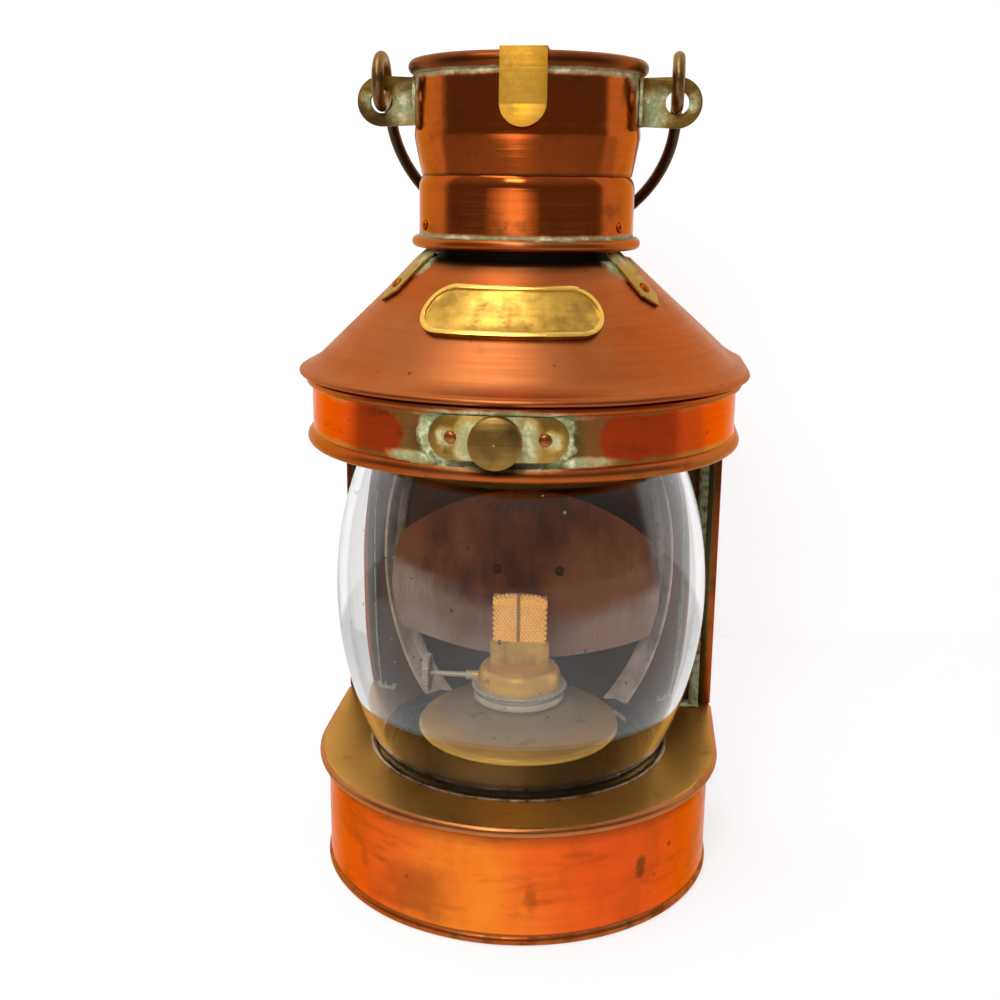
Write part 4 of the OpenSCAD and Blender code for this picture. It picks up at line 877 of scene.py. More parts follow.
def band_lobes(f, c, colour):
    """Rubbed fields on the band that end in round lobes beside the latch, with a dull border."""
    lobe_from, lobe_height, lobe_ends, lobe_ragged = 0.0475, 0.2215, (0.0078, 0.0102), 0.006
    where = f.place()
    x, y, z = f.parts(where)
    before = f.most(f.minus(lobe_from, f.off(x, LATCH_X * MM)), 0.0)
    edge = f.plus(f.hypot(before, f.minus(z, lobe_height)), f.wander(where, 90.0, 2.0, lobe_ragged))
    outside = f.times(f.span(edge, *lobe_ends), f.span(y, 0.0, -0.04))
    tan = f.blend(f.clouds(120.0, 0.35, 0.65, 21.0), c.dark_copper, c.olive_brass)
    colour = f.lay(outside, 0.9, colour, tan)
    return f.lay(*f.effects([rim(9.0, 14.0, 70.0)], 23.0), 0.85, colour, c.deep_green)


def base_highlight_shade_and_stains(f, c, colour):
    """Gold down the middle of the base's front as a painted highlight, red to the sides as painted shade, brown smudges
    and stains, and painted shade under the plate's edge.
    """
    middle_x, shaded_from, shaded_to = -0.013, 0.0445, 0.0515
    x, _, z = f.parts(f.place())
    aside = f.off(x, middle_x)
    # Redder to the sides: painted shade.
    colour = f.lay(f.span(aside, 0.03, 0.062), 0.7, colour, c.red_copper)
    # Gold in the middle of the front: a painted highlight.
    gold = f.clouds(20.0, 0.28, 0.6, 43.0, UPRIGHT_CLOUD)
    colour = f.lay(gold, f.span(aside, 0.044, 0.008), colour, c.gold_highlight_copper)
    smudge = f.clouds(19.0, 0.5, 0.7, 41.0, UPRIGHT_CLOUD)
    wiped = f.clouds(60.0, 0.52, 0.68, 42.0, (0.35, 0.35, 1.4))
    stains = f.effects([values for _, values in BASE_STAINS], 45.0)
    # Darker towards the plate's edge above: painted shade under it.
    under = f.span(z, shaded_from, shaded_to)
    shares = [share for share, _ in BASE_STAINS]
    for mask, share in zip([smudge, wiped, *stains, under], [0.5, 0.33, *shares, 0.6]):
        colour = f.lay(mask, share, colour, c.brown_copper)
    return colour


def painted_floor_reflection(f, c, colour):
    """A grey crescent along the reflector's lower edge, in the colour of old tinning: a painted reflection of the pale
    floor.
    """
    lowest, lean, rise = 0.103, 0.09, 7.5
    where = f.place()
    x, _, z = f.parts(where)
    curve = f.plus(f.times(f.minus(f.times(x, rise), lean), x), lowest)
    left = f.span(f.minus(f.plus(z, f.wander(where, 45.0, 7.0, 0.02)), curve), 0.005, -0.007)
    thin = f.clouds(60.0, 0.25, 0.7, 51.0, (1.6, 1.0, 0.4))
    return f.lay(left, f.span(thin, 0.0, 1.0, 0.95, 0.6), colour, c.old_tin_and_reflection)


def font_lip_light_and_shade(f, c, colour):
    """The font's wall black under its lip as painted shade, a bright line along the lip as a painted highlight, and
    less dust on its outer slope.
    """
    lip_height, dusty_from, clean_to = 0.0652, 0.0735, 0.069
    z = f.parts(f.place())[2]
    colour = f.blend(f.span(z, dusty_from, clean_to, 0.0, 0.75), colour, c.olive_brass)
    # Painted highlight along the lip.
    colour = f.blend(f.span(f.off(z, lip_height), 0.0016, 0.0004), colour, c.yellow_brass)
    # Painted shade under the lip.
    return f.blend(f.span(z, lip_height - 0.0006, lip_height - 0.0014), colour, c.black_soot_and_shade)


def hem_shade_and_line(f, c, colour):
    """Painted shade on the hem's inner half, in the dark of the post, and the pale line where the two meet."""
    hem_dark, hem_line = 0.0911, 0.0912
    out = f.reckon("ABSOLUTE", f.parts(f.place())[0])
    # Painted shade on the inner half.
    colour = f.blend(f.span(out, hem_dark + 0.0008, hem_dark), colour, c.dark_brass)
    line = f.span(f.off(out, hem_line), 0.0006, 0.0002)
    return f.lay(line, f.clouds(90.0, 0.3, 0.55, 53.0), colour, c.deep_green)


def well_line(f, c, colour):
    """A pale dry line round the plate's hole."""
    line_radius = 0.0704
    x, y, _ = f.parts(f.place())
    line = f.span(f.off(f.hypot(x, y), line_radius), 0.0009, 0.0004)
    return f.lay(line, f.clouds(110.0, 0.35, 0.6, 33.0), colour, c.old_tin_and_reflection)


def label_field_shade(f, c, colour):
    """Dark wax left in the plate's field."""
    return f.lay(f.clouds(110.0, 0.4, 0.6, 31.0), 0.4, colour, c.dark_brass)


def bail_shade_past_loops(f, c, colour):
    """The bail dark away from its loops, a painted shade on the part that hangs behind the chimney; the loops keep the
    brighter bronze.
    """
    loops_at, sideways = (0.0, 0.0, 0.361), (0.02, 1.0, 1.0)
    near = f.effect("spot", centre=loops_at, flatten=sideways, reach=0.022, ragged=0.012, seed=3.0)
    return f.blend(near, c.dark_bronze, colour)


def barrel_glass(name):
    """Clear old glass, slightly wavy, that lets lamp light through as glass does."""
    f = Finish(name, 0.0)
    f.set("Base Color", (0.995, 1.0, 0.995, 1.0))
    f.set("Transmission Weight", 1.0)
    f.set("IOR", 1.5)
    dust = f.effect("flecks", scale=420.0, size=0.16, share=0.06, seed=2.0)
    f.set("Roughness", f.times(dust, 0.3))
    f.bump(f.cloud(f.vector("MULTIPLY", f.place(), (1.0, 1.0, 0.45)), 26.0, 8.0, 0.0), 0.05, 0.002)
    clear = f.put("ShaderNodeBsdfTransparent", {"Color": (0.985, 0.99, 0.985, 1.0)})
    shadow = f.put("ShaderNodeLightPath").outputs["Is Shadow Ray"]
    f.show(f.put("ShaderNodeMixShader", {0: shadow, 1: f.surface, 2: clear}))
    return f.material


def glass_seed(name):
    """Air in the glass: its index is that of air seen from glass."""
    f = Finish(name, 0.0)
    f.set("Transmission Weight", 1.0)
    f.set("IOR", 0.667)
    grain = f.clouds(900.0, 0.3, 0.7, 1.0)
    f.set("Roughness", f.times(grain, 0.1))
    f.set("Base Color", f.blend(grain, (0.95, 0.96, 0.96, 1.0), (1.0, 1.0, 1.0, 1.0)))
    return f.material


def woven_cotton(name):
    """Tan cotton with a dark middle thread, painted shade where it lies deeper between the stitches, and a burnt top.
    """
    brown, pale, shaded = (0.45, 0.21, 0.07, 1.0), (0.92, 0.60, 0.28, 1.0), (0.4, 0.16, 0.04, 1.0)
    c = colours()
    f = Finish(name, 0.0)
    where = f.place()
    x, y, z = f.parts(where)
    yarn = f.clouds(900.0, 0.3, 0.7, 6.0, (1.0, 1.0, 0.35))
    stain = f.clouds(90.0, 0.4, 0.7, 9.0)
    colour = f.lay(yarn, 0.22, c.cotton, brown)
    colour = f.lay(stain, 0.35, colour, pale)
    # Painted shade on the cotton that lies deeper, between the stitches.
    deep = f.span(f.reckon("ABSOLUTE", y), 0.00135, 0.001)
    colour = f.lay(deep, 0.65, colour, shaded)
    thread = f.span(f.off(x, -0.0006), 0.0011, 0.0005)
    colour = f.lay(thread, 0.75, colour, c.soot)
    top = bpy.context.scene.lantern_sizes.wick_top
    burnt = f.span(f.plus(z, f.wander(where, 260.0, 3.0, 0.004)), top - 0.0022, top + 0.0006)
    f.set("Base Color", f.blend(burnt, colour, c.soot))
    f.set("Roughness", f.span(yarn, 0.0, 1.0, 0.85, 1.0))
    f.set("Sheen Weight", 0.25)
    f.bump(yarn, 0.5, 0.0003)
    return f.material


EAR_GROWTH = [
    *pair(53.0, 0.0, 349.0, 11.0, 14.0, scale=110.0), *pair(70.0, 0.0, 352.0, 5.0, 9.0),
    *pair(48.3, -8.6, 352.0, 4.0, 3.0, 0.3),
]
BASE_STAINS = [
    (0.8, spot(60.3, -68.2, 29.0, 4.0, 5.0, 0.5, 260.0)),
    (0.45, spot(14.6, -89.8, 22.5, 4.0, 6.0, 0.5, 260.0)),
    (0.3, spot(-62.4, -66.3, 24.0, 4.0, 5.0, 0.6, 260.0)),
    (0.5, spot(-35.6, -83.8, 20.0, 24.0, 26.0, 1.3, 60.0)),
]
LATCH_GROWTH = [
    *pair(20.5, -93.0, 222.0, 5.5, 5.0, middle=-1.0), spot(LATCH_X, -95.0, 226.0, 14.0, 12.0),
    *pair(11.5, -95.0, 221.0, 7.0, 7.0, 0.5, 110.0, middle=LATCH_X),
    *pair(33.0, -89.0, 222.0, 4.5, 5.0, 0.45, middle=-1.0),
]
CHIMNEY_GROWTH = [
    seam(361.6, 2.3, 1.8), seam(295.8, 1.8, 1.4), *pair(48.0, 0.0, 352.0, 13.0, 9.0),
    *pair(46.8, -11.6, 352.0, 3.4, 3.0, 0.28), *pair(45.5, -15.5, 360.5, 7.0, 7.0),
]
BAND_GROWTH = [
    spot(-1.0, -94.0, 230.6, 42.0, 26.0, 18.0, 90.0), rim(4.2, 20.0, 75.0),
    *pair(34.0, -89.0, 212.6, 17.0, 14.0, 5.0, 90.0, middle=LATCH_X),
]
# Painted shadow under the latch plate and its knob, on the band and its lower bead.
SHADOW_UNDER_LATCH = [
    spot(LATCH_X, -95.0, 211.9, 33.0, 8.0, 17.0, 120.0), spot(LATCH_X, -98.0, 210.6, 15.0, 5.0, 3.2),
]
BEAD_GROWTH = [spot(-1.0, -97.0, z, 36.0, 40.0, 16.0, 120.0) for z in (211.4, 231.8)]

METALS = {
    "Base copper": dict(
        bright="bright_copper", dull="red_copper", dark="brown_copper", rough=(0.2, 0.36), patch=13.0,
        stretch=BASE_STREAK, dull_at=(0.44, 0.72), dark_at=(0.53, 0.74), speck=(150.0, 0.3, 0.09), relief=0.16,
        seed=1.0, grime=[seam(5.2, 1.0, 0.8, 60.0), seam(51.6, 1.4, 1.2, 60.0)], change=base_highlight_shade_and_stains,
    ),
    "Band copper": dict(
        bright="red_copper", dull="chimney_copper", dark="brown_copper", rough=(0.16, 0.28), patch=15.0,
        stretch=(0.8, 0.8, 1.6), dull_at=(0.45, 0.75), dark_share=0.65, seed=2.0, relief=0.1, green=BAND_GROWTH,
        shade=SHADOW_UNDER_LATCH, change=band_lobes,
    ),
    "Bead copper": dict(
        bright="chimney_copper", dull="roof_copper", dark="brown_copper", rough=(0.28, 0.45), patch=20.0,
        dark_share=0.5, seed=3.0, green=BEAD_GROWTH, shade=SHADOW_UNDER_LATCH,
    ),
    "Foot copper": dict(
        bright="chimney_copper", dull="roof_copper", dark="brown_copper", rough=(0.3, 0.45), patch=30.0, seed=2.5,
        dull_at=(0.4, 0.7), dark_share=0.7, dark_at=(0.45, 0.65),
    ),
    "Edge copper": dict(
        bright="roof_copper", dull="dark_copper", dark="brown_copper", rough=(0.3, 0.45), patch=22.0, seed=3.5,
    ),
    "Roof copper": dict(
        bright="roof_copper", dull="chimney_copper", dark="brown_copper", rough=(0.36, 0.52), patch=14.0, seed=4.0,
        dark_share=0.4, dark_at=(0.58, 0.8), speck=(210.0, 0.26, 0.08), relief=0.14,
        # The wide seam round the roof's mouth is painted shade under the chimney, laid in the grime colour.
        grime=[seam(286.5, 6.0, 4.0, 80.0)], green=pair(41.0, -26.0, 285.0, 11.0, 11.0),
    ),
    "Chimney copper": dict(
        bright="chimney_copper", dull="brown_copper", dark="brown_copper", rough=(0.14, 0.27), patch=17.0, seed=5.0,
        dull_at=(0.5, 0.9), dark_at=(0.5, 0.75), dark_share=0.65, speck=(240.0, 0.3, 0.12), relief=0.12,
        grime=[seam(321.4, 0.7, 0.8, 50.0), seam(295.2, 0.8, 0.6)], green=CHIMNEY_GROWTH,
    ),
    "Top bead copper": dict(
        bright="brown_copper", dull="chimney_copper", dark="dark_brass", rough=(0.3, 0.45), patch=26.0, seed=5.5,
        dull_at=(0.45, 0.85), dark_share=0.5, green=[seam(362.2, 1.2, 1.0)],
    ),
    "Sooty copper": dict(
        bright="brown_copper", dull="dark_bronze", dark="dark_brass", rough=(0.45, 0.65), patch=12.0, seed=6.0,
        metallic=0.9,
    ),
    # Soot on the flue collar, made black to stand for the shade in the gap under the chimney: partly painted shade.
    "Flue soot": dict(
        bright="black_soot_and_shade", dull="dark_bronze", dark="black_soot_and_shade", rough=(0.6, 0.8), patch=30.0, seed=6.5,
        dull_at=(0.55, 0.9), metallic=0.9,
    ),
    "Reflector copper": dict(
        bright="dark_copper", dull="brown_copper", dark="dark_bronze", rough=(0.2, 0.36), patch=20.0, seed=7.0,
        stretch=(1.0, 0.4, 0.5), relief=0.1, along=UPRIGHT, metallic=0.75, change=painted_floor_reflection,
    ),
    "Hem copper": dict(
        bright="brown_copper", dull="chimney_copper", dark="dark_brass", rough=(0.3, 0.45), patch=24.0, seed=7.5,
        along=UPRIGHT, change=hem_shade_and_line,
    ),
    "Rivet copper": dict(
        bright="chimney_copper", dull="roof_copper", dark="brown_copper", rough=(0.35, 0.5), patch=60.0, seed=8.0,
        wear=0.3,
    ),
    "Plate brass": dict(
        bright="plate_brass", dull="dark_brass", dark="brown_copper", rough=(0.42, 0.58), patch=15.0, seed=9.0,
        dull_at=(0.5, 0.95), dark_share=0.3, speck=(320.0, 0.28, 0.12), change=well_line,
    ),
    "Well brass": dict(
        bright="dark_brass", dull="olive_brass", dark="dark_bronze", rough=(0.36, 0.52), patch=20.0, seed=9.3,
        dull_at=(0.52, 0.9), dark_share=0.5, change=well_line,
    ),
    "Ledge brass": dict(
        bright="olive_brass", dull="dark_brass", dark="dark_bronze", rough=(0.34, 0.5), patch=24.0, seed=9.6,
        dull_at=(0.45, 0.8), wear=0.9, worn="pale_green",
    ),
    "Rail tin": dict(
        bright="old_tin_and_reflection", dull="dusty_brass", dark="dark_bronze", rough=(0.4, 0.6), patch=40.0, seed=9.9,
        metallic=0.5, along=UPRIGHT,
    ),
    "Clasp brass": dict(
        bright="clasp_brass", dull="yellow_brass", dark="olive_brass", rough=(0.42, 0.58), patch=50.0, seed=10.0,
        dull_at=(0.4, 0.7), dark_at=(0.5, 0.68), wear=0.3, worn="gold_brass", metallic=0.93,
    ),
    "Ear brass": dict(
        bright="olive_brass", dull="dark_brass", dark="dark_brass", rough=(0.4, 0.6), patch=40.0, seed=11.0, wear=0.6,
        green=EAR_GROWTH, relief=0.5,
    ),
    "Strap brass": dict(
        bright="olive_brass", dull="yellow_brass", dark="dark_brass", rough=(0.3, 0.5), patch=36.0, seed=12.0, wear=0.7,
        dull_at=(0.5, 0.8), green=pair(41.0, -23.0, 287.0, 6.5, 7.0),
    ),
    "Label brass": dict(
        bright="gold_brass", dull="yellow_brass", dark="dark_brass", rough=(0.22, 0.36), patch=34.0, seed=13.0,
        dull_at=(0.5, 0.8), dark_share=0.35, wear=0.6,
    ),
    "Label field": dict(
        bright="yellow_brass", dull="olive_brass", dark="dark_brass", rough=(0.3, 0.45), patch=40.0, seed=13.5,
        dull_at=(0.45, 0.8), change=label_field_shade,
    ),
    "Latch brass": dict(
        bright="yellow_brass", dull="olive_brass", dark="dark_brass", rough=(0.3, 0.5), patch=44.0, seed=14.0, wear=0.5,
        green=LATCH_GROWTH, dull_at=(0.35, 0.65),
    ),
    "Post brass": dict(
        bright="dark_brass", dull="brown_copper", dark="dark_brass", rough=(0.4, 0.6), patch=28.0, seed=15.0, wear=0.9,
        worn="pale_green", green=[seam(58.6, 1.2, 1.0)], along=UPRIGHT,
    ),
    "Hinge brass": dict(
        bright="yellow_brass", dull="olive_brass", dark="dark_brass", rough=(0.3, 0.48), patch=40.0, seed=16.0,
        wear=0.5,
    ),
    "Burner brass": dict(
        bright="yellow_brass", dull="plate_brass", dark="dark_brass", rough=(0.36, 0.52), patch=50.0, seed=17.0,
        dull_at=(0.35, 0.7), metallic=0.62,
    ),
    "Drive tin": dict(
        bright="grey_tin", dull="dusty_brass", dark="dark_bronze", rough=(0.42, 0.6), patch=60.0, seed=17.5,
        dull_at=(0.5, 0.85), metallic=0.5,
    ),
    "Tube brass": dict(
        bright="yellow_brass", dull="olive_brass", dark="dark_brass", rough=(0.42, 0.6), patch=50.0, seed=18.0,
        along=UPRIGHT, metallic=0.72,
    ),
    "Font brass": dict(
        bright="dusty_brass", dull="olive_brass", dark="dark_brass", rough=(0.4, 0.58), patch=22.0, seed=19.0,
        dull_at=(0.5, 0.85), metallic=0.54, change=font_lip_light_and_shade,
    ),
    "Bail bronze": dict(
        bright="bronze", dull="olive_brass", dark="dark_bronze", rough=(0.32, 0.5), patch=44.0, seed=20.0,
        dull_at=(0.5, 0.8), change=bail_shade_past_loops, relief=0.3,
    ),
    "Knob bronze": dict(
        bright="olive_brass", dull="dark_bronze", dark="dark_brass", rough=(0.34, 0.5), patch=60.0, seed=21.0, wear=0.6,
        dull_at=(0.35, 0.85), dark_share=0.35, relief=0.35,
    ),
}
OTHERS = {"Barrel glass": barrel_glass, "Glass seed": glass_seed, "Woven cotton": woven_cotton}


@cache
def finish(name):
    """A finish by its name, made when it is first asked for."""
    return OTHERS[name](name) if name in OTHERS else metal(name, **METALS[name])


# Pieces

SIDES = ("left", "right")


def plan_offset(m, x, y):
    """How far a point lies outside the band's plan."""
    flat, side = m.band_radius - m.corner_radius, m.back_depth - m.corner_radius
    if y <= 0:
        return math.hypot(x, y) - m.band_radius
    if abs(x) > flat and y > side:
        return math.hypot(abs(x) - flat, y - side) - m.corner_radius
    return max(abs(x) - m.band_radius, y - m.back_depth)


def crease_of(bead_radius, inset):
    """Where a wall meets a bead whose middle lies inside it: the angle on the bead, and the height over its middle."""
    start = math.degrees(math.acos(inset / bead_radius))
    return start, bead_radius * math.sin(math.radians(start))


class LANTERN_OT_base(bpy.types.Operator):
    """Wall, foot bead, plate and well of the base"""

    bl_idname = "lantern.base"
    bl_label = "Base"

    def execute(self, context):
        m = measures()
        out, top = m.base_radius - m.band_radius, m.base_height - m.sheet
        bead_in, bead_z, curl_end = 1.4, m.foot_bead + 0.2, -200
        start, rise = crease_of(m.foot_bead, bead_in)
        crease = bead_z + rise
        wall = run((out, top), (out, crease + 0.3), 16)
        wall += arc(out - bead_in, bead_z, m.foot_bead, start, curl_end, 24)
        wall += run((out - m.sheet, crease), (out - m.sheet, top), 3)
        shell = Sheets().skin(swept(m, wall), around=True).piece("base_shell", wobble=0.22)

        def on_bead(at, _):
            return 1 if at.z < crease + 0.2 else 0

        stand_for("base_wall", shell, "copper", "Base copper", "Foot copper", rule=on_bead)

        edge_in, edge_out, nose = out + 0.2, out + 4.4, m.plate_edge / 2
        low = m.base_height - m.plate_edge
        rolled = arc(edge_out - nose, m.base_height - nose, nose, 90, -90, 16) + [(edge_in, low), (edge_in, top)]
        rings = []
        for x, y, nx, ny in plan(m):
            away = math.hypot(x, y)
            reach = min(m.well_radius, m.well_back * away / y) if y > 0 else m.well_radius
            hole = (x / away * reach, y / away * reach)
            edge = [(x + nx * off, y + ny * off, z) for off, z in rolled]
            over = [(*p, m.base_height) for p in run(hole, edge[0][:2], 5)[:-1]]
            under = [(*p, top) for p in run(edge[-1][:2], hole, 3)[1:]]
            rings.append(over + edge + under)
        plate = Sheets().skin(rings, around=True).piece("base_plate", wobble=0.15)
        copper_from = -1.4

        def on_edge(at, _):
            return 1 if plan_offset(m, at.x, at.y) > copper_from else 0

        stand_for("base_top", plate, "dull_brass", "Plate brass", "Edge copper", rule=on_edge)
        ease("lamp_well", 0.2, "dull_brass", "Well brass")
        ease("lens_seat", 0.3, "brass", "Ledge brass")
        keep_solid("base_floor", "Sooty copper")
        return {"FINISHED"}


def glass_surface(m, inwards, ripple, steps_round=150, steps_up=84, margin=0.0):
    """Rows of the barrel's surface, moved inwards from the outside, each cut flat behind."""
    ripple_length, calm_steps = 26.0, 6
    rows = []
    for i in range(steps_up + 1):
        z = m.glass_foot + margin + (m.glass_head - m.glass_foot - 2 * margin) * i / steps_up
        radius = m.belly_radius - m.bow_radius + math.sqrt(m.bow_radius**2 - (z - m.belly_height) ** 2) - inwards
        end = math.asin(min(1.0, m.glass_cut / radius))
        row = []
        for j in range(steps_round + 1):
            t = end - (math.pi + 2 * end) * j / steps_round
            p = Vector((radius * math.cos(t), radius * math.sin(t), z))
            fade = ripple * min(1.0, j / calm_steps, (steps_round - j) / calm_steps)
            p += Vector((p.x, p.y, 0)).normalized() * noise.noise(p / ripple_length) * fade
            row.append(p)
        rows.append(row)
    return rows


class LANTERN_OT_glass(bpy.types.Operator):
    """Bowed barrel glass with its seeds, rails and head ring"""

    bl_idname = "lantern.glass"
    bl_label = "Glass"

    def execute(self, context):
        m = measures()
        outside, inside = glass_surface(m, 0.0, 0.05), glass_surface(m, m.glass_wall, 0.08)
        count = len(outside[0])
        rings = [[row[j] for row in outside] + [row[j] for row in reversed(inside)] for j in range(count)]
        glass = Sheets().skin(rings).piece("barrel_glass", sharp=50)
        stand_for("lens_glass", glass, "glass", "Barrel glass")

        middle = glass_surface(m, m.glass_wall / 2, 0.0, 60, 40, 8.0)
        mesh = bpy.data.meshes.new("seed_ground")
        width = len(middle[0])
        faces = [
            (i * width + j, i * width + j + 1, (i + 1) * width + j + 1, (i + 1) * width + j)
            for i in range(len(middle) - 1) for j in range(2, width - 3)
        ]
        mesh.from_pydata([p * MM for row in middle for p in row], [], faces)
        values = {"Density": 1700.0, "Smallest": 0.16 * MM, "Largest": 0.85 * MM, "Seed": 7}
        seeds = grow("glass_seeds", mesh, seed_tree(), "Glass seed", values)
        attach(seeds, "lantern")

        for side in SIDES:
            ease("lens_rail_" + side, 0.2, "brass", "Rail tin")
        ease("lens_head_ring", 0.3, "brass", "Plate brass")
        return {"FINISHED"}


class LANTERN_OT_back(bpy.types.Operator):
    """Back panel with its hems, and the two angle posts"""

    bl_idname = "lantern.back"
    bl_label = "Back"

    def execute(self, context):
        hem_from = 88.8

        def by_side(at, normal):
            if normal.y > 0.5:
                return 1
            return 2 if abs(at.x) > hem_from else 0

        ease("back_panel", 0.25, "dark_copper", "Sooty copper", "Roof copper", "Hem copper", rule=by_side)
        for side in SIDES:
            ease("post_" + side, 0.2, "brass", "Post brass")
        return {"FINISHED"}


class LANTERN_OT_reflector(bpy.types.Operator):
    """Dished reflector behind the flame, and its studs"""

    bl_idname = "lantern.reflector"
    bl_label = "Reflector"

    def execute(self, context):
        m = measures()
        drop, steps, rows = m.dish_arch - m.dish_reach, 144, 22
        rings = []
        for i in range(steps):
            t = 2 * math.pi * i / steps
            arch = -drop * abs(math.sin(t)) + math.sqrt(m.dish_arch**2 - (drop * math.cos(t)) ** 2)
            reach = min(m.dish_width, arch)
            ring = []
            for back in (0, 1):
                deep = m.dish_radius + back * m.sheet
                for j in range(rows + 1):
                    r = reach * (1 - j / rows if back else j / rows)
                    x, z = r * math.cos(t), m.dish_height + r * math.sin(t)
                    ring.append((x, -m.dish_centre + math.sqrt(deep**2 - r * r), z))
            rings.append(ring)
        dish = Sheets().skin(rings, around=True).piece("reflector_dish", wobble=0.35, wave=30.0)
        stand_for("reflector", dish, "dark_copper", "Reflector copper")
        keep_solid("reflector_studs", "Plate brass")
        return {"FINISHED"}


class LANTERN_OT_band(bpy.types.Operator):
    """Band over the glass, with a bead at foot and head, and its floor"""

    bl_idname = "lantern.band"
    bl_label = "Band"

    def execute(self, context):
        m = measures()
        foot_r, foot_in, foot_end, head_r, head_out, head_end = 3.3, 0.8, -215, 2.0, 0.6, -250
        start, rise = crease_of(foot_r, foot_in)
        crease = m.band_foot + rise
        wall = run((0.0, m.band_head), (0.0, crease + 0.3), 12)
        wall += arc(-foot_in, m.band_foot, foot_r, start, foot_end, 28)
        wall += run((-m.sheet, crease + 0.1), (-m.sheet, m.band_head), 3)
        head = arc(head_out, m.band_head, head_r, 90, head_end, 21)
        sheets = Sheets().skin(swept(m, wall), around=True).skin(swept(m, head, m.hinge_gap))
        band = sheets.piece("band_shell", wobble=0.16)
        bead_top, bead_foot = crease - 0.3, m.band_head - 1.4

        def on_bead(at, _):
            return 1 if at.z < bead_top or at.z > bead_foot else 0

        stand_for("band_wall", band, "copper", "Band copper", "Bead copper", rule=on_bead)
        keep_solid("band_floor", "Plate brass")
        return {"FINISHED"}


class LANTERN_OT_latch(bpy.types.Operator):
    """Latch plate, knob, spindle and tongue"""

    bl_idname = "lantern.latch"
    bl_label = "Latch"

    def execute(self, context):
        ease("latch_plate", 0.35, "brass", "Latch brass")
        ease("latch_knob", 0.5, "bronze", "Knob bronze")
        keep_solid("latch_spindle", "Knob bronze")
        keep_solid("latch_tongue", "Hinge brass")
        return {"FINISHED"}


class LANTERN_OT_roof(bpy.types.Operator):
    """Roof slope with its flared brim, skirt, keeper and flue"""

    bl_idname = "lantern.roof"
    bl_label = "Roof"

    def execute(self, context):
        m = measures()
        wall, brim_t, wire, lip, steps, inside_box, flare = 1.7, 1.5, 1.32, 2.2, 18, 0.35, 0.38
        rings = []
        for x, y, nx, ny in plan(m):
            ring = []
            for inwards in (0.0, wall):
                off = m.eave_radius - m.band_radius - inwards
                foot = Vector((x + nx * off, y + ny * off, m.eave_height))
                mouth = Vector((nx, ny, 0)) * (m.mouth_radius - inwards) + Vector((0, 0, m.mouth_height))
                mouth += (mouth - foot).normalized() * lip
                line = [foot.lerp(mouth, i / steps) for i in range(steps + 1)]
                ring += line[::-1] if inwards else line
            rings.append(ring)
        slope = (m.mouth_height - m.eave_height) / (m.eave_radius - m.mouth_radius)
        start = (m.eave_radius - m.band_radius, m.eave_height)
        end = (m.rim_radius - m.band_radius - inside_box, m.rim_height)
        lead = flare * (end[0] - start[0])
        top = bend(start, (start[0] + lead, start[1] - lead * slope), end, 14)
        wire_x, wire_z = end[0] - wire, m.rim_height - wire + 0.1
        over = [p for p in top if p[0] < wire_x - 0.2]
        under = [(x, z - brim_t) for x, z in reversed(over)]
        brim = over + arc(wire_x, wire_z, wire, 80, -150, 14) + under
        if len(brim) % 2:
            brim.append((start[0], start[1] - brim_t / 2))
        sheets = Sheets().skin(rings, around=True).skin(swept(m, brim, m.hinge_gap))
        roof = sheets.piece("roof_sheet", wobble=0.3, wave=38.0, sharp=45)
        stand_for("roof_cone", roof, "copper", "Roof copper")
        keep_solid("roof_skirt", "Sooty copper")
        keep_solid("flue_collar", "Flue soot")
        keep_solid("roof_keeper", "Plate brass")
        return {"FINISHED"}


class LANTERN_OT_label(bpy.types.Operator):
    """Bare plate with a raised border on the roof"""

    bl_idname = "lantern.label"
    bl_label = "Label plate"

    def execute(self, context):
        m = measures()
        tilt = math.atan2(m.mouth_height - m.eave_height, m.eave_radius - m.mouth_radius)
        field, taller, narrower = 1.65, 0.09, 0.955
        plate = worked("label_plate", 0.3)
        _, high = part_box("label_plate")
        for vert in plate.data.vertices:
            drawn = taller * (vert.co.z - high.z)
            turn = math.atan2(vert.co.x, -vert.co.y) * narrower
            out = math.hypot(vert.co.x, vert.co.y) - drawn / math.tan(tilt)
            vert.co = (out * math.sin(turn), -out * math.cos(turn), vert.co.z + drawn)

        def in_field(at, _):
            out = math.hypot(at.x, at.y) - m.mouth_radius
            return 1 if out * math.sin(tilt) + (at.z - m.mouth_height) * math.cos(tilt) < field else 0

        stand_for("label_plate", plate, "brass", "Label brass", "Label field", rule=in_field)
        return {"FINISHED"}


class LANTERN_OT_straps(bpy.types.Operator):
    """Pointed straps that carry the chimney"""

    bl_idname = "lantern.straps"
    bl_label = "Straps"

    def execute(self, context):
        for side in (*SIDES, "rear"):
            ease("strap_" + side, 0.25, "brass", "Strap brass")
        return {"FINISHED"}


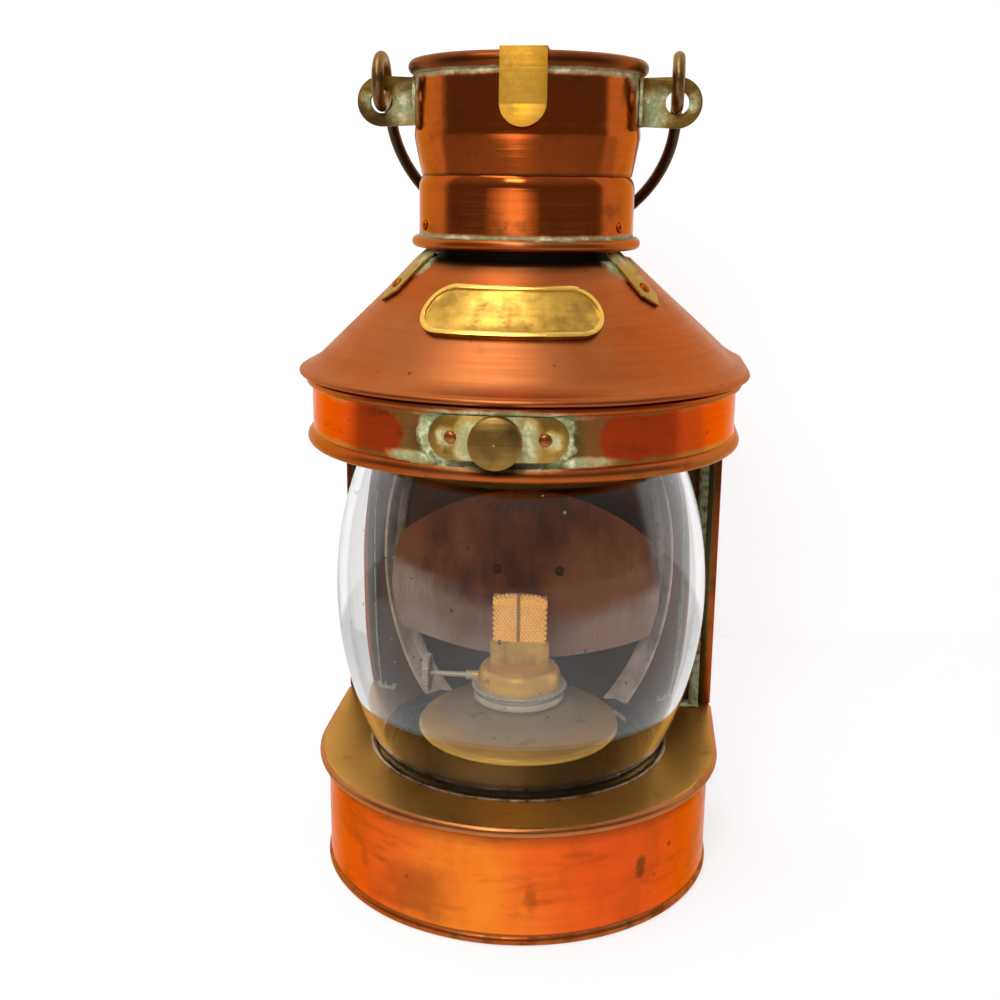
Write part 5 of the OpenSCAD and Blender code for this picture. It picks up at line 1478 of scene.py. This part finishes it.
class LANTERN_OT_chimney(bpy.types.Operator):
    """Chimney drum and cowl with their beads"""

    bl_idname = "lantern.chimney"
    bl_label = "Chimney"

    def execute(self, context):
        m = measures()
        bead_r, bead_out, top_r, top_in, top_from = 2.5, 0.8, 3.3, 0.3, 45
        shoulder_r, shoulder_turn = 9.4, 36.0
        wall_from = m.drum_foot + math.sqrt(bead_r**2 - bead_out**2) + 0.3
        line = arc(m.drum_radius + bead_out, m.drum_foot, bead_r, -215, 100, 26)
        shoulder = m.waist_height - shoulder_r * math.sin(math.radians(shoulder_turn))
        line += run((m.drum_radius, wall_from), (m.drum_radius, shoulder), 10)
        line += arc(m.drum_radius - shoulder_r, shoulder, shoulder_r, 0, shoulder_turn, 14)[1:]
        line += run((m.waist_radius - m.sheet, m.waist_height), (m.drum_radius - m.sheet, m.drum_foot + 1.0), 6)
        drum = Sheets().skin(turned(line), around=True).piece("drum_sheet", wobble=0.2, wave=30.0)

        def on_bead(at, _):
            at_top = at.z > m.cowl_head - 2.8 and math.hypot(at.x, at.y) > top_from
            return 1 if at.z < wall_from - 0.6 or at_top else 0

        stand_for("chimney_drum", drum, "copper", "Chimney copper", "Bead copper", rule=on_bead)
        flare_h = m.ridge_height - m.waist_height
        steer = (m.waist_radius + 1, m.waist_height + flare_h / 3)
        line = bend((m.waist_radius - 0.3, m.waist_height), steer, (m.ridge_radius - 0.2, m.ridge_height - 2.0), 14)
        over_ridge = (m.ridge_radius + 0.1, m.ridge_height + 0.4)
        line += bend(line[-1], over_ridge, (m.cowl_radius, m.ridge_height + 3.6), 8)[1:]
        line += run(line[-1], (m.cowl_radius, m.cowl_head - 3.2), 12)[1:]
        line += arc(m.cowl_radius - top_in, m.cowl_head, top_r, -78, 215, 28)
        line += run((m.cowl_radius - m.sheet, m.cowl_head - 3.4), (m.waist_radius - m.sheet, m.waist_height), 10)
        cowl = Sheets().skin(turned(line), around=True).piece("cowl_sheet", wobble=0.2, wave=30.0)
        stand_for("chimney_cowl", cowl, "copper", "Chimney copper", "Top bead copper", rule=on_bead)
        return {"FINISHED"}


class LANTERN_OT_lid(bpy.types.Operator):
    """Chimney lid with its clasp and hinge"""

    bl_idname = "lantern.lid"
    bl_label = "Lid"

    def execute(self, context):
        ease("chimney_lid", 0.2, "copper", "Roof copper")
        ease("lid_clasp", 0.2, "brass", "Clasp brass")
        for node in ("lid_hinge_strap", "lid_hinge_bracket"):
            ease(node, 0.15, "brass", "Hinge brass")
        keep_solid("lid_hinge_pin", "Hinge brass")
        return {"FINISHED"}


class LANTERN_OT_bail(bpy.types.Operator):
    """Ears on the chimney, and the bail that hangs in them"""

    bl_idname = "lantern.bail"
    bl_label = "Bail and ears"

    def execute(self, context):
        m = measures()
        for side in SIDES:
            ease("ear_" + side, 0.45, "brass", "Ear brass")
        droop, turn, loop_steps, leg_steps, arch_step, thinner = math.radians(-58.5), 300, 60, 12, 2, 0.985
        loop = [math.radians(turn * i / loop_steps) for i in range(loop_steps + 1)]
        loop = [(-m.bail_loop * math.sin(t), m.bail_loop * (math.cos(t) - 1)) for t in loop]
        path = [(-m.ear_reach, y, z) for y, z in reversed(loop)]
        path += [(-m.ear_reach, y, 0) for y, _ in run((0, 0), (m.bail_leg, 0), leg_steps)[1:]]
        for degrees in range(180 - arch_step, 0, -arch_step):
            t = math.radians(degrees)
            path.append((m.ear_reach * math.cos(t), m.bail_leg + m.ear_reach * math.sin(t), 0))
        path += [(m.ear_reach, y, 0) for y, _ in run((m.bail_leg, 0), (0, 0), leg_steps)]
        path += [(m.ear_reach, y, z) for y, z in loop[1:]]
        to_rest = Matrix.Translation((0, 0, m.bail_pivot)) @ Matrix.Rotation(droop, 4, "X")
        to_rest = to_rest @ Matrix.Translation((0, 0, m.bail_loop))
        mesh = bpy.data.meshes.new("bail_path")
        edges = [(i, i + 1) for i in range(len(path) - 1)]
        mesh.from_pydata([to_rest @ Vector(p) * MM for p in path], edges, [])
        rod = grow("bail_rod", mesh, rod_tree(), "Bail bronze", {"Radius": m.bail_wire * MM * thinner}, 50)
        stand_for("bail", rod, "bronze", "Bail bronze")
        return {"FINISHED"}


class LANTERN_OT_lamp(bpy.types.Operator):
    """Oil font, burner, wick drive and wick"""

    bl_idname = "lantern.lamp"
    bl_label = "Lamp"

    def execute(self, context):
        self.font()
        self.burner()
        ease("wick_tube", 0.15, "brass", "Tube brass")
        keep_solid("wick_shaft", "Drive tin")
        self.wheel()
        self.wick(measures())
        return {"FINISHED"}

    def font(self):
        """A spun can with an undercut lip, a sloping top and a short neck."""
        low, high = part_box("font")
        wide, floor, top = high.x / MM, low.z / MM, high.z / MM
        shoulder, peak, body, slope_end = top - 16.3, top - 1.7, wide - 6.0, wide * 0.94
        neck, mouth, wall, middle = 19.0, 14.2, 1.2, 3.0
        line = [(middle, floor), (body, floor), *run((body, floor + 1), (body, shoulder + 0.6), 4)]
        line += bend((wide - 2.2, shoulder + 2.2), (wide - 0.2, shoulder + 2.2), (wide - 0.25, shoulder + 3.2), 6)
        line += bend(line[-1], (wide - 0.4, shoulder + 4.9), (slope_end, shoulder + 5.8), 8)[1:]
        line += run(line[-1], (neck * 1.2, peak - 0.6), 10)[1:] + [(neck, peak), (neck, top), (mouth, top)]
        line += [(mouth, peak - wall), *run((neck, peak - 2 * wall), (slope_end - 1.5, shoulder + 4.2), 4)]
        line += [(wide - wall - 1.2, shoulder + 3.4), (body - wall, shoulder - 0.4)]
        line += [(body - wall, floor + wall), (middle, floor + wall)]
        piece = Sheets().skin(turned(line, 128), around=True).piece("font_spun", wobble=0.12, wave=30.0)
        stand_for("font", piece, "brass", "Font brass")

    def burner(self):
        """A bun-shaped dome over a crimped flange, on the font's neck ring."""
        steps, mouth, middle, sleeve_from = 112, 14.2, 2.0, -20.6
        low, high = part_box("burner_collar")
        foot, head = low.z / MM, high.z / MM
        side = bend((21.7, foot + 0.3), (21.9, head - 0.3), (20.4, head), 6)
        line = [(mouth, foot), (21.4, foot), *side, (mouth, head)]
        neck = Sheets().skin(turned(line, steps), around=True).piece("burner_neck")
        stand_for("burner_collar", neck, "dull_brass", "Drive tin")

        low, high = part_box("burner_dome")
        foot, peak, level = low.z / MM, high.z / MM, low.z / MM + 3.0
        line = [(middle, foot), (19.8, foot), *run((19.8, foot + 0.4), (19.6, level - 0.8), 3)]
        line += bend((20.5, level - 0.7), (22.4, level - 0.6), (22.5, level), 4)
        line += bend((22.5, level + 0.3), (22.3, level + 0.9), (20.2, level + 0.9), 4)
        line += bend((19.9, level + 1.1), (20.3, peak - 1.6), (16.4, peak - 0.4), 12)
        line += run((15.8, peak - 0.3), (middle, peak), 4)
        bowl = turned([(r, height - level) for r, height in line], steps)
        shaft_low, shaft_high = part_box("wick_shaft")
        y, z = (shaft_low.y + shaft_high.y) / 2 / MM, (shaft_low.z + shaft_high.z) / 2 / MM
        turns = [math.radians(15 * i) for i in range(24)]
        sleeve = [
            [(x, y + r * math.cos(t), z - level + r * math.sin(t)) for t in turns]
            for x, r in ((-26.8, 1.9), (-26.5, 2.3), (-23.0, 2.3), (-17.0, 2.3))
        ]
        core = Sheets().skin(bowl, around=True).skin(sleeve).piece("dome_core")
        values = {"Count": 36, "Radius": 22.2 * MM, "Height": 1.7 * MM, "Rib": 0.75 * MM}
        dome = grow("burner_dome_crimped", freed(core), ribbed_tree(), "Burner brass", values, 40)
        dome.data.transform(Matrix.Translation((0, 0, level * MM)))

        def tinned(at, _):
            return 1 if at.z < level + 1.0 or at.x < sleeve_from else 0

        stand_for("burner_dome", dome, "dull_brass", "Burner brass", "Drive tin", rule=tinned)

    def wheel(self):
        """A knurled wheel with a hollow on each face."""
        low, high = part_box("thumb_wheel")
        half_h, outer = (high.x - low.x) / 2 / MM, (high.z - low.z) / 2 / MM
        bore, hub, hollow, inset = 1.35, 5.0, 5.8, half_h - 0.6
        core = [(bore, -half_h), (hub, -half_h), (hollow, -inset), (outer - 1.6, -inset)]
        core += [(outer - 0.9, -half_h), (outer - 0.6, 0), (outer - 0.9, half_h), (outer - 1.6, inset)]
        core += [(hollow, inset), (hub, half_h), (bore, half_h), (bore, 0)]
        disc = Sheets().skin(turned(core, 90), around=True).piece("wheel_core", sharp=25)
        values = {"Count": 30, "Radius": (outer - 0.75) * MM, "Height": 2 * half_h * MM, "Rib": 0.72 * MM}
        wheel = grow("thumb_wheel_knurled", freed(disc), ribbed_tree(), "Drive tin", values, 40)
        wheel.data.transform(Matrix.Translation((low + high) / 2) @ Matrix.Rotation(math.pi / 2, 4, "Y"))
        stand_for("thumb_wheel", wheel, "dull_brass", "Drive tin")

    def wick(self, m):
        """A flat strip inside a weave that covers its shown part."""
        thinner, top_zone, top_drop, shown = (0.97, 0.74, 1.0, 1.0), 1.5, 3.2, 46.0
        mesh = freed(worked("wick", 0.3))
        mesh.transform(Matrix.Diagonal(thinner))
        for vert in mesh.vertices:
            if vert.co.z > (m.wick_top - top_zone) * MM:
                vert.co.z -= top_drop * MM
        values = {
            "Width": (m.wick_width - 2.9) * MM, "Height": shown * MM, "Depth": m.wick_depth * 0.72 * MM,
            "Middle": (m.wick_top - shown / 2 - 0.3) * MM, "Columns": 13, "Rows": 37, "Stitch": 1.0 * MM,
        }
        woven = grow("wick_woven", mesh, weave_tree(), "Woven cotton", values)
        stand_for("wick", woven, "cotton", "Woven cotton")


class LANTERN_OT_hinge(bpy.types.Operator):
    """Leaves and pin of the roof hinge"""

    bl_idname = "lantern.hinge"
    bl_label = "Roof hinge"

    def execute(self, context):
        for leaf in ("hinge_leaf_lower", "hinge_leaf_upper"):
            ease(leaf, 0.2, "brass", "Hinge brass")
        keep_solid("hinge_pin", "Hinge brass")
        return {"FINISHED"}


RIVETS = {
    "latch_rivets": ("copper_rivet", "Edge copper"),
    "hinge_rivets_lower": ("copper_rivet", "Rivet copper"),
    "hinge_rivets_upper": ("copper_rivet", "Rivet copper"),
    "strap_rivets": ("copper_rivet", "Rivet copper"),
    "chimney_rivets": ("copper_rivet", "Chimney copper"),
    "ear_rivets": ("copper_rivet", "Chimney copper"),
    "lid_rivets": ("copper_rivet", "Bead copper"),
    "post_rivets": ("brass", "Post brass"),
    "reflector_rivets": ("brass", "Post brass"),
}


class LANTERN_OT_rivets(bpy.types.Operator):
    """Peened rivet heads, one mesh for each set"""

    bl_idname = "lantern.rivets"
    bl_label = "Rivets"

    def execute(self, context):
        for seed, (node, (slot, name)) in enumerate(RIVETS.items()):
            rivets = rivet_frames(node)
            mesh = bpy.data.meshes.new(node + "_points")
            mesh.from_pydata([foot for foot, *_ in rivets], [], [])
            axis = mesh.attributes.new("axis", "FLOAT_VECTOR", "POINT")
            for entry, (_, outwards, *_) in zip(axis.data, rivets):
                entry.vector = outwards
            _, _, radius, height = rivets[0]
            values = {"Radius": radius, "Height": height, "Seed": seed}
            stand_for(node, grow(node + "_peened", mesh, rivet_tree(), name, values), slot, name)
        return {"FINISHED"}


# Stage

FOCAL_PIXELS, FRAME_PIXELS, SENSOR = 1297.3, 1000.0, 36.0
CAMERA_AT = (50.99, -582.86, 319.24)
CAMERA_AZIMUTH, CAMERA_YAW, CAMERA_PITCH, CAMERA_ROLL = 5.0, 0.996, 13.877, 0.653
PAPER_WHITE = (1.0, 0.985, 0.985, 1.0)
SKY_WHITE = (1.0, 0.985, 0.98, 1.0)
FLOOR_HALF = 5.0
WALL_Y, WALL_LEAN, WALL_HEIGHT = 0.296, 0.152, 4.0
CARDS = ((0.05, 0.0034), (0.09, 0.006), (0.14, 0.0088), (0.2, 0.012))


def soft_stage(name, camera_glow, near_glow, side_glow):
    """A pale surface that keeps shadows and shows metal and glass a bright ground near the lantern."""
    far_glow, glossy_share = 0.42, 0.9
    f = Finish(name, 0.0)
    f.set("Base Color", colours().floor)
    f.set("Roughness", 0.9)
    f.set("Specular IOR Level", 0.1)
    path = f.put("ShaderNodeLightPath").outputs
    x, y, _ = f.parts(f.place())
    out = f.reckon("ABSOLUTE", x)
    middle = f.span(out, 0.28, 0.03, side_glow, 1.0)
    table = f.times(f.span(y, -0.6, -0.35), f.span(out, 0.75, 0.5))
    lit = f.most(table, f.span(y, -0.06, 0.06))
    near = f.times(f.span(lit, 0.0, 1.0, far_glow, near_glow), middle)
    mirrored = f.most(f.times(path["Is Glossy Ray"], glossy_share), path["Is Transmission Ray"])
    strength = f.mix(path["Is Glossy Ray"], 1.0, near)
    glow = f.put("ShaderNodeEmission", {"Color": PAPER_WHITE, "Strength": strength})
    share = f.most(f.times(path["Is Camera Ray"], camera_glow), mirrored)
    shown = f.put("ShaderNodeMixShader", {0: share, 1: f.surface, 2: glow})
    behind, see = f.put("ShaderNodeNewGeometry").outputs["Backfacing"], f.put("ShaderNodeBsdfTransparent")
    f.show(f.put("ShaderNodeMixShader", {0: behind, 1: shown, 2: see}))
    return f.material


class LANTERN_OT_stage(bpy.types.Operator):
    """Floor, backdrop, soft lights, sky and camera"""

    bl_idname = "lantern.stage"
    bl_label = "Stage"

    def execute(self, context):
        scene = context.scene
        scene.view_settings.view_transform = "Standard"
        self.camera(scene)
        h, left_y, right_y = FLOOR_HALF, WALL_Y - WALL_LEAN * FLOOR_HALF, WALL_Y + WALL_LEAN * FLOOR_HALF
        floor = [(-h, -h, 0), (h, -h, 0), (h, h, 0), (-h, h, 0)]
        wall = [(-h, left_y, 0), (h, right_y, 0), (h, right_y, WALL_HEIGHT), (-h, left_y, WALL_HEIGHT)]
        self.plane("floor", floor, soft_stage("Pale floor", 0.66, 0.94, 0.66))
        self.plane("backdrop", wall, soft_stage("Pale wall", 0.62, 0.97, 1.0))
        self.lamp("Front", (-0.1, -1.2, 0.74), (0, 0, 0.2), 0.8, 0.46, 15.0, mirrored=False, through=False)
        self.lamp("Key", (-0.14, -0.85, 1.05), (0, 0, 0.3), 0.3, 0.24, 2.2)
        self.lamp("Top", (-0.26, -0.35, 1.4), (0, 0, 0.25), 0.7, 0.6, 4.4)
        for step, (wide, power) in enumerate(CARDS):
            at = (-0.022 - 0.006 * step, -0.2 - 0.004 * step, 0.302)
            self.lamp("Card", at, (at[0], 0, at[2]), wide, 0.052, power, "ELLIPSE", through=False)
        self.sky(scene)
        return {"FINISHED"}

    def camera(self, scene):
        """The camera at its place, turned by its azimuth, yaw, pitch and roll."""
        a, yaw = math.radians(CAMERA_AZIMUTH), math.radians(CAMERA_YAW)
        pitch, roll = math.radians(CAMERA_PITCH), math.radians(CAMERA_ROLL)
        ahead, right = Vector((-math.sin(a), math.cos(a), 0)), Vector((math.cos(a), math.sin(a), 0))
        level = math.cos(yaw) * ahead - math.sin(yaw) * right
        right = math.cos(yaw) * right + math.sin(yaw) * ahead
        sight = math.cos(pitch) * level - Vector((0, 0, math.sin(pitch)))
        up = right.cross(sight)
        across = math.cos(roll) * right + math.sin(roll) * up
        up = math.cos(roll) * up - math.sin(roll) * right
        eye = bpy.data.cameras.new("Eye")
        eye.sensor_width = SENSOR
        eye.lens = FOCAL_PIXELS / FRAME_PIXELS * SENSOR
        eye.clip_start = 0.01
        scene.camera = in_scene("Eye", eye)
        turn = Matrix((across, up, -sight)).transposed().to_4x4()
        scene.camera.matrix_world = Matrix.Translation(Vector(CAMERA_AT) * MM) @ turn

    def plane(self, name, corners, material):
        """One flat surface of the stage."""
        mesh = bpy.data.meshes.new(name)
        mesh.from_pydata(corners, [], [(0, 1, 2, 3)])
        mesh.materials.append(material)
        ground = in_scene(name, mesh)

    def lamp(self, name, at, target, wide, tall, power, shape="RECTANGLE", mirrored=True, through=True):
        """One area lamp, aimed at a target."""
        data = bpy.data.lights.new(name, "AREA")
        data.shape, data.size, data.size_y, data.energy = shape, wide, tall, power
        lamp = in_scene(name, data)
        lamp.location = at
        lamp.visible_glossy, lamp.visible_transmission = mirrored, through
        lamp.rotation_euler = (Vector(target) - Vector(at)).to_track_quat("-Z", "Y").to_euler()

    def sky(self, scene):
        """A plain sky for light, and for mirrors a room: pale behind the lantern and above it."""
        behind_glow, plain_glow = 0.95, 0.6
        world = bpy.data.worlds.new("Studio")
        world.use_nodes = True
        scene.world = world
        bench = Bench(world.node_tree)
        path = bench.put("ShaderNodeLightPath").outputs
        _, y, z = bench.parts(bench.put("ShaderNodeTexCoord").outputs["Generated"])
        behind = bench.times(bench.span(y, -0.06, 0.1), behind_glow)
        room = bench.most(behind, bench.span(z, 0.15, 0.95, 0.16, 0.5))
        mirrored = bench.most(path["Is Glossy Ray"], path["Is Transmission Ray"])
        strength = bench.mix(path["Is Camera Ray"], bench.mix(mirrored, plain_glow, room), 1.0)
        background = world.node_tree.nodes["Background"]
        bench.feed(background.inputs["Color"], SKY_WHITE)
        bench.feed(background.inputs["Strength"], strength)


class LANTERN_PT_sidebar(bpy.types.Panel):
    """Sizes, colours and steps of the lantern"""

    bl_idname = "LANTERN_PT_sidebar"
    bl_label = "Lantern"
    bl_space_type = "VIEW_3D"
    bl_region_type = "UI"
    bl_category = "Lantern"

    def draw(self, context):
        for group in (context.scene.lantern_sizes, context.scene.lantern_colours):
            box = self.layout.box()
            for name in type(group).__annotations__:
                box.prop(group, name)
        for step in STEPS:
            self.layout.operator(step.bl_idname)


STEPS = (
    LANTERN_OT_stage, LANTERN_OT_base, LANTERN_OT_glass, LANTERN_OT_back, LANTERN_OT_reflector, LANTERN_OT_band,
    LANTERN_OT_latch, LANTERN_OT_roof, LANTERN_OT_label, LANTERN_OT_straps, LANTERN_OT_chimney, LANTERN_OT_lid,
    LANTERN_OT_bail, LANTERN_OT_lamp, LANTERN_OT_hinge, LANTERN_OT_rivets,
)
CLASSES = (LanternSizes, LanternColours, *STEPS, LANTERN_PT_sidebar)


def register():
    for cls in CLASSES:
        bpy.utils.register_class(cls)
    bpy.types.Scene.lantern_sizes = bpy.props.PointerProperty(type=LanternSizes)
    bpy.types.Scene.lantern_colours = bpy.props.PointerProperty(type=LanternColours)


def unregister():
    del bpy.types.Scene.lantern_sizes
    del bpy.types.Scene.lantern_colours
    for cls in reversed(CLASSES):
        bpy.utils.unregister_class(cls)


def main():
    register()
    for step in STEPS:
        getattr(bpy.ops.lantern, step.bl_idname.split(".")[1])()


if __name__ == "__main__":
    main()
